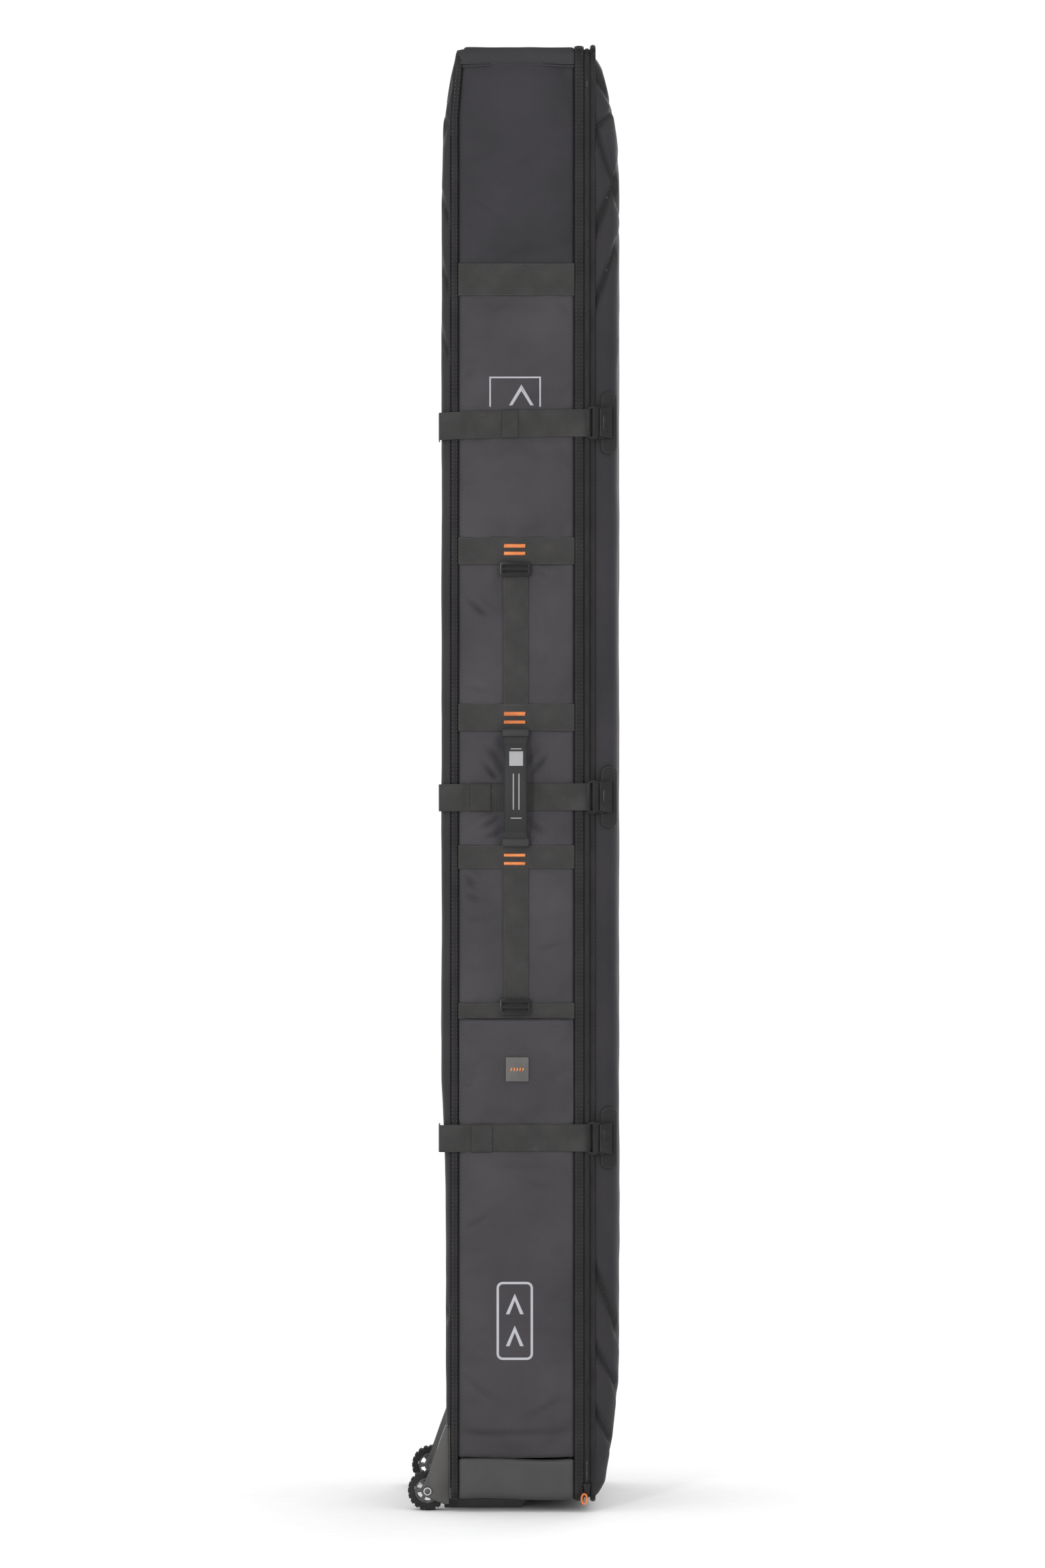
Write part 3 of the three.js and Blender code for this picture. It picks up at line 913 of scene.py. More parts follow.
def ring_point(run, bottom, top, inset):
    """A point and its outward direction on the rounded rectangle round the bag, at a share of the whole
    turn that starts in the middle of the bottom and goes first towards the near side."""
    corner = ring_corner
    half = half_width - inset
    low, high = bottom + inset, top - inset
    arc = corner * math.pi / 2
    upright = high - low - 2 * corner
    legs = [half - corner, arc, upright, arc, 2 * (half - corner), arc, upright, arc, half - corner]
    total = sum(legs)
    left = (run * total) % (total + 1e-12)
    turn_centres = [
        (-half + corner, low + corner),
        (-half + corner, high - corner),
        (half - corner, high - corner),
        (half - corner, low + corner),
    ]
    y, z, facing = 0.0, low, -math.pi / 2
    for number, leg in enumerate(legs):
        step = min(left, leg)
        if number % 2 == 0:
            y += step * math.sin(facing)
            z -= step * math.cos(facing)
        else:
            centre = turn_centres[number // 2]
            angle = facing - step / corner
            y = centre[0] + corner * math.cos(angle)
            z = centre[1] + corner * math.sin(angle)
            facing = angle
        left -= step
        if left <= 1e-9:
            break
    return Vector((0, middle_y + y, z)), Vector((0, math.cos(facing), math.sin(facing)))


def standing_proud(proud, outward):
    """The rolled edges are ironed flat along the far side, so that the lid can fold right back there."""
    return proud * (0.35 if outward.y > 0.5 else 1)


def rolled_edge(
    name, x_low, x_high, proud, ring, body, material,
    replaces=(), turns=(0.0, 1.0), rows=520, columns=6, lean=0.0,
):
    """A half-round edge that runs round the bag between two shares of the whole turn. ring gives the
    bottom, the top and the inset of its rounded rectangle."""
    depth = 3 * mm

    def place(across, along):
        spot, outward = ring_point(between(*turns, along), *ring)
        angle = math.pi * across
        x = (x_low + x_high) / 2 - (x_high - x_low) / 2 * math.cos(angle)
        x += lean * max(0, spot.z - shoulder_height)
        return spot + outward * (standing_proud(proud, outward) * math.sin(angle)) + Vector((x, 0, 0))

    edge = sheet_of(name, columns, rows, place)
    bottom, top, _ = ring

    def inner(spot):
        toward = Vector((0, middle_y - spot.y, 0))
        if abs(spot.y - middle_y) < half_width - ring_corner:
            toward = Vector((0, 0, (bottom + top) / 2 - spot.z))
        return spot + toward.normalized() * depth

    line_back(edge, inner)
    return finish_piece(edge, body, [material], replaces)


tub_ring = (shell_bottom, gusset_top, 0.0)
back_ring = (shell_bottom, gusset_top - 5 * mm, 1 * mm)
inner_ring = (shell_bottom, gusset_top - 5 * mm, 12.5 * mm)
lid_ring = (lid_low.z + 1 * mm, lid_high.z - 1 * mm, 0.4 * mm)
rolled_edge(
    "front_binding", panel_right - 0.5 * mm, groove_start, 2.4 * mm, tub_ring, "shell", binding,
    ["binding_near", "binding_far"],
)
rolled_edge(
    "back_binding", back_seam - 1 * mm, back_seam + back_binding_width, 2.4 * mm, back_ring, "shell", binding,
    lean=shoulder_lean,
)
rolled_edge("lid_piping", groove_end, groove_end + 8 * mm, 3.0 * mm, lid_ring, "lid", binding)
rolled_edge(
    "inner_seam_tape", back_seam - 3 * mm, back_seam + 10 * mm, 1.6 * mm, inner_ring, "shell", binding,
    lean=shoulder_lean,
)
tail_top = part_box("tail_plate")[1].z


def tail_tape_place(across, along):
    """A flat tape over the seam between the back panel and the moulded tail, seen from inside."""
    y = between(near_y + ring_corner, far_y - ring_corner, along)
    x = back_seam + 0.3 * mm + 1.2 * mm * math.sin(math.pi * across)
    return (x, y, tail_top - 8 * mm + 20 * mm * across)


tail_tape = sheet_of("tail_seam_tape", 8, 40, tail_tape_place)
line_back(tail_tape, lambda spot: Vector((back_seam - 0.4 * mm, spot.y, spot.z)))
finish_piece(tail_tape, "shell", [binding])

# The zip starts in the middle of the bottom, climbs the near side and ends beyond the middle of the top.
zip_turns = (0.0, 0.537)
tape_ring = (shell_bottom, gusset_top, 3 * mm)
tape_gap = 0.3 * mm
rolled_edge(
    "zip_tape_tub", groove_start - 1 * mm, zip_line - tape_gap, 0.3 * mm, tape_ring, "shell", dark_tape,
    ["zip_tape_body"], turns=zip_turns, rows=300, columns=3,
)
rolled_edge(
    "zip_tape_cover", zip_line + tape_gap, groove_end + 1 * mm, 0.3 * mm, tape_ring, "lid", dark_tape,
    ["zip_tape_lid"], turns=zip_turns, rows=300, columns=3,
)


def zip_teeth(name, reach, body, first):
    """One half of the coil: short teeth that lie between those of the other half."""
    form = bmesh.new()
    pitch = 3.2 * mm
    length = 2 * (lid_high.z - lid_low.z) + 4 * half_width
    count = int(length * (zip_turns[1] - zip_turns[0]) / pitch)
    for number in range(count):
        share = between(*zip_turns, (number + first) / count)
        spot, outward = ring_point(share, shell_bottom, gusset_top, 2.2 * mm)
        made = bmesh.ops.create_cube(form, size=1)["verts"]
        along = outward.cross(Vector((1, 0, 0)))
        frame_of = Matrix((Vector((1, 0, 0)), along, outward)).transposed().to_4x4()
        size = Matrix.Diagonal((3.0 * mm, 1.25 * mm, 1.4 * mm, 1))
        place = Matrix.Translation(spot + Vector((zip_line + reach, 0, 0)))
        bmesh.ops.transform(form, matrix=place @ frame_of @ size, verts=made)
    return finish_piece(made_of(name, form), body, [zip_coil])


zip_teeth("zip_coil_tub", -0.9 * mm, "shell", 0.0)
zip_teeth("zip_coil_cover", 0.9 * mm, "lid", 0.5)


def hinge_place(across, along):
    """A strip of cloth that bows out a little over the groove between the rolled edges."""
    bow = 1.2 * mm * math.sin(math.pi * across)
    x = between(groove_start - 4 * mm, groove_end + 4 * mm, across)
    return (x, far_y + 0.4 * mm + bow, between(shell_bottom + 12 * mm, gusset_top - 12 * mm, along))


hinge_middle = 1.06
hinge = sheet_of("hinge_strip", 10, 120, hinge_place)
line_back(hinge, lambda spot: spot - Vector((0, 0.8 * mm, 0)))
finish_piece(hinge, None, [binding])
hinge_span = (groove_start, far_y, hinge_middle), (groove_end, far_y, hinge_middle)
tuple(hinge_span[0])
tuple(hinge_span[1])
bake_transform(hinge)


# ---- Sewn webbing ----
# Flat woven bands across the gusset, two upright lengths that carry the handle, and the compression
# straps, which run from the back panel over the gusset to their buckles.
webbing = surface(
    "webbing", ribbed, (0.0178, 0.0171, 0.0166), (0.036, 0.0345, 0.0335), 0.66, 0.4 * mm, sheen=0.07
)


def bevelled(piece, width, segments=2):
    """Rounds a piece's sharp edges and keeps the result as its own mesh."""
    edges = piece.modifiers.new("edges", "BEVEL")
    edges.width = width
    edges.segments = segments
    edges.limit_method = "ANGLE"
    edges.angle_limit = math.radians(40)
    whole = bpy.data.meshes.new_from_object(piece.evaluated_get(bpy.context.evaluated_depsgraph_get()))
    piece.modifiers.clear()
    piece.data = whole
    for face in piece.data.polygons:
        face.use_smooth = True


def ripple(place, size, length):
    """A small even waviness for cloth that lies flat."""
    return size * noise.noise(Vector(place) / length)


def flat_strap(name, node, x_span, z_span, face, turned=False, columns=30):
    """Webbing on the near gusset. turned is for webbing whose length runs upright."""
    def place(across, along):
        if turned:
            x, z = between(*x_span, across), between(*z_span, along)
        else:
            x, z = between(*x_span, along), between(*z_span[::-1], across)
        wave = ripple((x, 0.3, z), 0.9 * mm, 0.03)
        return (x, face + min(wave, 0.2 * mm), z)

    strap = sheet_of(name, 8, columns, place)
    line_back(strap, lambda spot: spot + Vector((0, 1.7 * mm, 0)))
    bevelled(strap, 0.5 * mm)
    return finish_piece(strap, "shell", [webbing], [node])


for number in band_numbers:
    low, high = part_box(f"band_{number}")
    flat_strap(f"sewn_band_{number}", f"band_{number}", (low.x, high.x), (low.z, high.z), low.y - 0.2 * mm)
for place_name in ("upper", "lower"):
    low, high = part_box(f"webbing_{place_name}")
    spans = (low.x, high.x), (low.z - 2 * mm, high.z + 2 * mm)
    flat_strap(
        f"upright_{place_name}", f"webbing_{place_name}", *spans, low.y - 0.1 * mm, turned=True, columns=60
    )

strap_outer = -107.2 * mm
strap_back_leg = 58 * mm
strap_length = strap_back_leg - strap_outer + 111 * mm
strap_face = near_y - 2.2 * mm
keepers = {"upper": (-16, 7), "middle": (-62, -32), "lower": (-60, -30)}
arches = {"upper": 5 * mm, "middle": 1.5 * mm, "lower": 1 * mm}


def strap_path(run):
    """Runs from the back panel, round its edge, over the gusset and into the buckle's loop."""
    corner = 7 * mm
    arc = corner * math.pi / 2
    straight = strap_back_leg - corner
    if run < straight:
        return strap_outer, strap_face + strap_back_leg - run
    if run < straight + arc:
        angle = (run - straight) / corner
        x = strap_outer + corner - corner * math.cos(angle)
        return x, strap_face + corner - corner * math.sin(angle)
    return strap_outer + corner + run - (straight + arc), strap_face


def strap_lift(x):
    """The strap rides over the rolled bindings at both edges of the gusset."""
    over_front = ease((x - 70 * mm) / (15 * mm))
    over_back = ease((-66 * mm - x) / (10 * mm))
    return 2.2 * mm * (over_front + over_back)


def strap_drop(place_name, x):
    """How far a strap sags at x below the height at which it meets its buckle."""
    left, right = span_of(f"strap_{place_name}", 0)
    return arches[place_name] * (1 - (x - left) / (right - left)) ** 2


def strap_inner(spot):
    """The strap's back: behind it over the gusset, and beside it where it lies on the back panel."""
    if spot.x > -99 * mm:
        return spot + Vector((0, 1.6 * mm, 0))
    return spot + Vector((1.4 * mm, 0.6 * mm, 0))


def compression_strap(place_name):
    """A strap with the elastic keeper that holds its loose end."""
    low, high = span_of(f"strap_{place_name}", 2)
    middle = (low + high) / 2
    half = (high - low) / 2

    def place(across, along):
        x, y = strap_path(along * strap_length)
        calm = 1 - clamp((x - 50 * mm) / (20 * mm))
        wave = calm * min(ripple((x, 0.7, middle + across), 1.2 * mm, 0.035), 0.3 * mm)
        y += (wave if x > -95 * mm else 0) - strap_lift(x)
        return (x, y, middle - strap_drop(place_name, x) + half * (1 - 2 * across))

    strap = sheet_of(f"compression_strap_{place_name}", 8, 90, place)
    line_back(strap, strap_inner)
    bevelled(strap, 0.5 * mm)
    finish_piece(strap, "shell", [webbing], [f"strap_{place_name}"])

    def keeper_place(across, along):
        x = between(*keepers[place_name], along) * mm
        y = strap_face - 0.3 * mm - 1.7 * mm * bump_between(across, 0, 1, 0.08)
        return (x, y, middle - strap_drop(place_name, x) + (half + 0.9 * mm) * (1 - 2 * across))

    keeper = sheet_of(f"keeper_{place_name}", 24, 8, keeper_place)
    line_back(keeper, lambda spot: spot + Vector((0, 1.2 * mm, 0)))
    bevelled(keeper, 0.4 * mm)
    finish_piece(keeper, "shell", [webbing])


for place_name in keepers:
    compression_strap(place_name)


# ---- Stitching ----
# Rows of dark bonded thread along the bindings, bands, straps, tabs and end panels, the quilting thread of
# the lid and the back, and the orange bar tacks that hold the handle's webbing.
dark_thread = surface(
    "dark_thread", moulded, (0.050, 0.048, 0.050), (0.085, 0.082, 0.085), 0.5, 0.02 * mm, "Object"
)
orange_thread = surface(
    "orange_thread", moulded, (0.58, 0.17, 0.05), (0.86, 0.30, 0.10), 0.55, 0.02 * mm, "Object"
)


def sew(name, stitches, body, material):
    """One small ellipsoid of thread for each (middle, along, outward, length, width)."""
    form = bmesh.new()
    bmesh.ops.create_uvsphere(form, u_segments=6, v_segments=4, radius=0.5)
    pattern = bpy.data.meshes.new("stitch_pattern")
    form.to_mesh(pattern)
    form.clear()
    for middle, along, outward, length, width in stitches:
        first = len(form.verts)
        form.from_mesh(pattern)
        form.verts.ensure_lookup_table()
        side = along.cross(outward).normalized()
        turn = Matrix((side, outward, along)).transposed()
        for vert in form.verts[first:]:
            scaled = Vector((vert.co.x * width, vert.co.y * width * 0.8, vert.co.z * length))
            vert.co = turn @ scaled + middle
    for face in form.faces:
        face.smooth = True
    bpy.data.meshes.remove(pattern)
    return finish_piece(made_of(name, form), body, [material])


def row_of(points, outward, pitch=4.6 * mm, length=3.2 * mm, width=0.8 * mm):
    """Evenly spaced stitches along a line of points, facing outward(point)."""
    stitches = []
    due = pitch / 2
    for start, end in zip(points, points[1:]):
        step = end - start
        while due <= step.length and step.length > 0:
            middle = start + step * (due / step.length)
            stitches.append((middle, step.normalized(), outward(middle), length, width))
            due += pitch
        due -= step.length
    return stitches


toward_viewer = Vector((0, -1, 0))


def to_viewer(spot):
    return toward_viewer


sewn_at = {"upper": -45, "middle": -25, "lower": 30}
sewn_down = []
for number in band_numbers:
    low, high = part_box(f"band_{number}")
    for z in (low.z + 2 * mm, high.z - 2 * mm):
        ends = [Vector((x, low.y - 0.3 * mm, z)) for x in (low.x + 1 * mm, high.x - 1 * mm)]
        sewn_down += row_of(ends, to_viewer)
for place_name in ("upper", "lower"):
    low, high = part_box(f"webbing_{place_name}")
    for x in (low.x + 2 * mm, high.x - 2 * mm):
        ends = [Vector((x, low.y - 0.2 * mm, z)) for z in (low.z, high.z)]
        sewn_down += row_of(ends, to_viewer)
for place_name in keepers:
    low, high = span_of(f"strap_{place_name}", 2)
    for x in (sewn_at[place_name] * mm, (sewn_at[place_name] + 3) * mm):
        top = high - strap_drop(place_name, x) - 1 * mm
        ends = [Vector((x, near_y - 2.4 * mm, z)) for z in (top, top - (high - low - 2 * mm))]
        sewn_down += row_of(ends, to_viewer, 3.4 * mm, 2.6 * mm)
for rim_height in (boot_top - 4 * mm, gusset_top - end_fold - 1 * mm):
    ends = [Vector((x, near_y - 1.0 * mm, rim_height)) for x in (panel_left + 2 * mm, panel_right - 2 * mm)]
    sewn_down += row_of(ends, to_viewer)
sew("sewn_rows", sewn_down, "shell", dark_thread)


def ring_row(x, proud, ring, lean=0.0):
    """Stitches all the way round a rolled edge on the rounded rectangle that ring gives."""
    steps = 900
    points = []
    for number in range(steps + 1):
        spot, outward = ring_point(number / steps, *ring)
        reach = x + lean * max(0, spot.z - shoulder_height)
        points.append((spot + outward * standing_proud(proud, outward) + Vector((reach, 0, 0)), outward))
    facing = {tuple(place): outward for place, outward in points}
    places = [place for place, outward in points]
    stitches = []
    for start, end in zip(places, places[1:]):
        step = end - start
        if step.length > 1 * mm:
            count = max(1, round(step.length / (5.2 * mm)))
            for number in range(count):
                middle = start + step * (number + 0.5) / count
                stitches.append((middle, step.normalized(), facing[tuple(start)], 3.2 * mm, 0.9 * mm))
    return stitches


edge_rows = ring_row(back_seam + 1.2 * mm, 1.9 * mm, back_ring, lean=shoulder_lean)
edge_rows += ring_row(back_seam + 6.4 * mm, 1.9 * mm, back_ring, lean=shoulder_lean)
edge_rows += ring_row(panel_right + 2.2 * mm, 1.6 * mm, tub_ring)
edge_rows += ring_row(groove_start - 2.6 * mm, 1.6 * mm, tub_ring)
sew("binding_rows", edge_rows, "shell", dark_thread)
sew("piping_rows", ring_row(groove_end + 6.2 * mm, 2.1 * mm, lid_ring), "lid", dark_thread)


def skin_of(piece):
    """A piece's surface, for finding the places of what lies on it."""
    points = [vert.co for vert in piece.data.vertices]
    return BVHTree.FromPolygons(points, [face.vertices for face in piece.data.polygons])


def quilting_thread(name, piece, seam_x, direction, lines, reach_at, body):
    """Stitches that lie in the pressed channels, found by dropping onto the finished cloth."""
    skin = skin_of(piece)
    stitches = []
    for line in lines:
        wall = reach_at(line[0])
        for side in (-1, 1):
            trail = []
            for number in range(120):
                run = number * 2.5 * mm
                out, inward = (run, 0.0) if run < wall else (wall, run - wall)
                if inward > half_width - 4 * mm:
                    break
                y = middle_y + side * (half_width - inward)
                guess = Vector((seam_x + direction * out, y, quilting_height(line, out, inward)))
                found, normal, _, _ = skin.find_nearest(guess)
                if found is not None and (found - guess).length < 25 * mm:
                    trail.append((found + normal * 0.2 * mm, normal))
            for (place, normal), (after, _) in zip(trail, trail[2:]):
                step = after - place
                if 1 * mm < step.length < 12 * mm:
                    stitches.append((place, step.normalized(), normal, 2.4 * mm, 0.7 * mm))
    return sew(name, stitches, body, dark_thread)


quilting_thread("lid_quilting_thread", lid, lid_low.x, 1, lid_quilting, lid_depth, "lid")
quilting_thread("back_quilting_thread", back, back_seam, -1, back_quilting, back_depth, "shell")


def bar_tack(x_span, z_span, face):
    """A dense satin bar: short upright threads side by side, staggered a little."""
    pitch = 0.95 * mm
    count = int((x_span[1] - x_span[0]) / pitch)
    slant = Vector((0.18, 0, 1)).normalized()
    threads = []
    for number in range(count):
        stagger = 0.35 * mm * (-1) ** number
        middle = Vector((x_span[0] + (number + 0.5) * pitch, face, sum(z_span) / 2 + stagger))
        threads.append((middle, slant, toward_viewer, z_span[1] - z_span[0], 1.25 * mm))
    return threads


tack_span = webbing_low.x + 1.5 * mm, webbing_high.x - 4 * mm
tack_shares = {
    2: ((0.60, 0.76), (0.33, 0.48)),
    3: ((0.55, 0.72), (0.26, 0.40)),
    4: ((0.50, 0.65), (0.15, 0.30)),
}
tacks = []
for number, pairs in tack_shares.items():
    low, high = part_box(f"band_{number}")
    for pair in pairs:
        tacks += bar_tack(tack_span, [between(low.z, high.z, share) for share in pair], low.y - 0.5 * mm)
sew("orange_bar_tacks", tacks, "shell", orange_thread)


# ---- Printed marks ----
# Pale ink on the near gusset: a plain open frame high up and a rounded frame with two peaks low down. The
# ink is a film that follows the cloth under it.
ink = surface(
    "pale_ink", woven, (0.34, 0.34, 0.37), (0.44, 0.44, 0.47), 0.6, 0.1 * mm, "Object", thread=1.2 * mm
)
cloth_skin = skin_of(near_cloth)
film_lift = 0.3 * mm


def on_cloth(x, z, skin):
    """The y of the cloth at x and z, seen from in front."""
    found, _, _, _ = skin.ray_cast(Vector((x, near_y - 0.05, z)), Vector((0, 1, 0)))
    return found.y if found is not None else near_y


def ink_line(form, points, width, closed, skin):
    """A strip of the given width that follows points (x, z), mitred where it turns."""
    fine = []
    for (x0, z0), (x1, z1) in zip(points, points[1:] + points[:1] if closed else points[1:]):
        count = max(1, int(math.hypot(x1 - x0, z1 - z0) / (3 * mm)))
        fine += [(between(x0, x1, step / count), between(z0, z1, step / count)) for step in range(count)]
    if not closed:
        fine.append(points[-1])
    rows = []
    for number, (x, z) in enumerate(fine):
        before = fine[number - 1] if closed or number else (x, z)
        after = fine[(number + 1) % len(fine)] if closed or number < len(fine) - 1 else (x, z)
        ahead = Vector((after[0] - x, after[1] - z))
        behind = Vector((x - before[0], z - before[1]))
        ahead = ahead.normalized() if ahead.length else behind.normalized()
        behind = behind.normalized() if behind.length else ahead
        across = Vector((-(ahead.y + behind.y), ahead.x + behind.x)).normalized()
        reach = 0.5 * width / max(0.45, across.dot(Vector((-ahead.y, ahead.x))))
        pair = []
        for side in (-1, 1):
            px, pz = x + side * across.x * reach, z + side * across.y * reach
            pair.append(form.verts.new((px, on_cloth(px, pz, skin) - film_lift, pz)))
        rows.append(pair)
    for (a, b), (c, d) in zip(rows, rows[1:] + rows[:1] if closed else rows[1:]):
        form.faces.new((a, b, d, c))


def ink_chevron(form, middle, base, height, half, thick, skin):
    """A plain peak: two legs of even thickness that share their tip."""
    steps = 12
    tip = None
    for side in (-1, 1):
        rows = []
        for step in range(steps + 1):
            if step == steps and tip:
                rows.append(tip)
                continue
            share = step / steps
            pair = []
            for foot, peak in ((half, height), (half - thick, height - thick * 1.9)):
                x = middle + side * foot * (1 - share)
                z = base + peak * share
                pair.append(form.verts.new((x, on_cloth(x, z, skin) - film_lift, z)))
            rows.append(pair)
        tip = rows[-1]
        for (a, b), (c, d) in zip(rows, rows[1:]):
            form.faces.new((a, b, d, c) if side < 0 else (b, a, c, d))


def ink_patch(form, left, right, low, high, skin):
    """A filled rectangle that follows the cloth under it."""
    made = bmesh.ops.create_grid(form, x_segments=8, y_segments=8, size=0.5)["verts"]
    for vert in made:
        x = between(left, right, vert.co.x + 0.5)
        z = between(low, high, vert.co.y + 0.5)
        vert.co = (x, on_cloth(x, z, skin) - film_lift, z)


def rounded_frame(left, right, low, high, corner):
    """The points (x, z) of a rectangle with round corners."""
    centres = (
        (right - corner, high - corner, 0),
        (left + corner, high - corner, 90),
        (left + corner, low + corner, 180),
        (right - corner, low + corner, 270),
    )
    points = []
    for centre_x, centre_z, start in centres:
        for step in range(5):
            angle = math.radians(start + 22.5 * step)
            points.append((centre_x + corner * math.cos(angle), centre_z + corner * math.sin(angle)))
    return points


def printed(name, draw, body="shell", material=ink):
    """A film made of what draw puts on the cloth."""
    form = bmesh.new()
    draw(form)
    piece = made_of(name, form)
    line_back(piece, lambda spot: spot + Vector((0, 0.2 * mm, 0)))
    return finish_piece(piece, body, [material])


def draw_upper(form):
    left, right, low, high = -33 * mm, 39 * mm, 1.592, 1.634
    ink_line(form, [(left, low), (left, high), (right, high), (right, low)], 2.4 * mm, False, cloth_skin)
    ink_chevron(form, 12 * mm, 1.594, 30 * mm, 18 * mm, 5 * mm, cloth_skin)


def draw_lower(form):
    left, right, low, high = -22 * mm, 27 * mm, 0.222, 0.331
    ink_line(form, rounded_frame(left, right, low, high, 7 * mm), 3.6 * mm, True, cloth_skin)
    for base in (0.286, 0.240):
        ink_chevron(form, (left + right) / 2, base, 30 * mm, 13 * mm, 5.5 * mm, cloth_skin)


printed("printed_ridge", draw_upper)
printed("printed_peaks", draw_lower)


# ---- Hard fittings ----
# Moulded and turned pieces whose shape the solid model already has: their edges are rounded over so that
# they catch the light as moulded plastic does.
gloss = surface(
    "glossy_acetal", moulded, (0.0035, 0.0035, 0.0037), (0.007, 0.007, 0.0073), 0.17, 0.01 * mm, "Object",
    shine=0.32,
)
moulding = surface(
    "grey_moulding", moulded, (0.060, 0.058, 0.0565), (0.071, 0.069, 0.067), 0.42, 0.2 * mm, "Object"
)
rubber = surface(
    "tyre_rubber", moulded, (0.008, 0.008, 0.008), (0.018, 0.018, 0.018), 0.75, 0.2 * mm, "Object"
)
dark_rim = surface("rim_plastic", moulded, (0.05, 0.05, 0.052), (0.08, 0.08, 0.083), 0.35, 0.1 * mm, "Object")
pale_ring = surface(
    "pale_washer", moulded, (0.42, 0.42, 0.42), (0.56, 0.56, 0.56), 0.35, 0.02 * mm, "Object"
)


def rounded_copy(node, name, body, material, width, segments=3):
    """The solid model's own shape with its edges rounded."""
    form = bmesh.new()
    form.from_mesh(bpy.data.objects[node].data)
    bmesh.ops.remove_doubles(form, verts=form.verts, dist=0.01 * mm)
    bmesh.ops.dissolve_limit(form, angle_limit=math.radians(1), verts=form.verts, edges=form.edges)
    piece = made_of(name, form)
    bevelled(piece, width, segments)
    return finish_piece(piece, body, [material], [node])


for place_name in keepers:
    tongue = f"tongue_{place_name}"
    socket = f"socket_{place_name}"
    rounded_copy(f"buckle_{tongue}", f"{tongue}_moulding", tongue, gloss, 2.2 * mm, 4)
    rounded_copy(f"buckle_{socket}", f"{socket}_moulding", "lid", gloss, 0.9 * mm)


def flattened(value, power):
    """A sine or cosine drawn towards 1, which squares up the oval it makes."""
    return math.copysign(abs(value) ** power, value)


def solid_from(name, outline, thickness, body, edge):
    """A moulded bar: an outline in the upright plane, thickened towards the bag, with rounded edges."""
    form = bmesh.new()
    ring = [form.verts.new(place) for place in outline]
    face = form.faces.new(ring)
    made = bmesh.ops.extrude_face_region(form, geom=[face])["geom"]
    moved = [part for part in made if isinstance(part, bmesh.types.BMVert)]
    bmesh.ops.translate(form, vec=(0, thickness, 0), verts=moved)
    bmesh.ops.recalc_face_normals(form, faces=form.faces)
    piece = made_of(name, form)
    bevelled(piece, edge, 3)
    return finish_piece(piece, body, [gloss])


def press_arm(place_name, half_name, side, shell_low, middle):
    """The bowed arm that is pressed in to free a tongue, at one side of its socket."""
    steps = 8
    y = shell_low.y + 2.6 * mm
    outer = []
    inner = []
    for step in range(steps + 1):
        share = step / steps
        x = shell_low.x - 3.6 * mm + share * 15 * mm
        bulge = (19.6 + 4.2 * math.sin(math.pi * min(1, share * 1.15)) ** 0.8) * mm
        outer.append((x, y, middle + side * bulge))
        inner.append((x, y, middle + side * (bulge - 3.4 * mm)))
    name = f"press_arm_{place_name}_{half_name}"
    return solid_from(name, outer + inner[::-1], 4.6 * mm, f"tongue_{place_name}", 1.0 * mm)


def socket_plate(place_name, shell_low, shell_high, middle):
    """A raised rounded plate in the middle of a socket."""
    steps = 28
    outline = []
    for step in range(steps):
        turn = 2 * math.pi * step / steps
        x = (shell_low.x + shell_high.x) / 2 + 1 * mm + 5.2 * mm * flattened(math.cos(turn), 0.6)
        z = middle + 12 * mm * flattened(math.sin(turn), 0.6)
        outline.append((x, shell_low.y - 0.8 * mm, z))
    return solid_from(f"socket_plate_{place_name}", outline, 1.6 * mm, "lid", 0.7 * mm)


for place_name in keepers:
    middle = sum(span_of(f"buckle_tongue_{place_name}", 2)) / 2
    shell_low, shell_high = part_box(f"buckle_socket_{place_name}")
    press_arm(place_name, "lower", -1, shell_low, middle)
    press_arm(place_name, "upper", 1, shell_low, middle)
    socket_plate(place_name, shell_low, shell_high, middle)
for place_name in ("upper", "lower"):
    lock = f"lock_{place_name}"
    rounded_copy(f"ladder_{lock}", f"ladder_{place_name}_moulding", lock, gloss, 1.2 * mm)
rounded_copy("zip_slider", "slider_casting", "slider", gloss, 1.0 * mm)
edge_widths = {"tail_plate": 1.0, "base_plate": 2.0, "skid_rail": 2.0, "fork_near": 1.4, "fork_far": 1.4}
for node, width in edge_widths.items():
    rounded_copy(node, f"{node}_moulding", "shell", moulding, width * mm)


def turned_ring(name, middle, radius, thick, material):
    """A round washer ring about an axle, turned from a small circle."""
    form = bmesh.new()
    rim = bmesh.ops.create_circle(form, segments=10, radius=thick)
    quarter = Matrix.Rotation(math.pi / 2, 3, "X")
    bmesh.ops.transform(form, matrix=Matrix.Translation((radius, 0, 0)), verts=rim["verts"])
    bmesh.ops.rotate(form, matrix=quarter, cent=(radius, 0, 0), verts=rim["verts"])
    bmesh.ops.spin(
        form, geom=form.verts[:] + form.edges[:], axis=(0, 0, 1), cent=(0, 0, 0),
        steps=48, angle=2 * math.pi, use_merge=True,
    )
    bmesh.ops.rotate(form, matrix=quarter, cent=(0, 0, 0), verts=form.verts)
    bmesh.ops.translate(form, vec=middle, verts=form.verts)
    bmesh.ops.recalc_face_normals(form, faces=form.faces)
    for face in form.faces:
        face.smooth = True
    return finish_piece(made_of(name, form), "shell", [material])


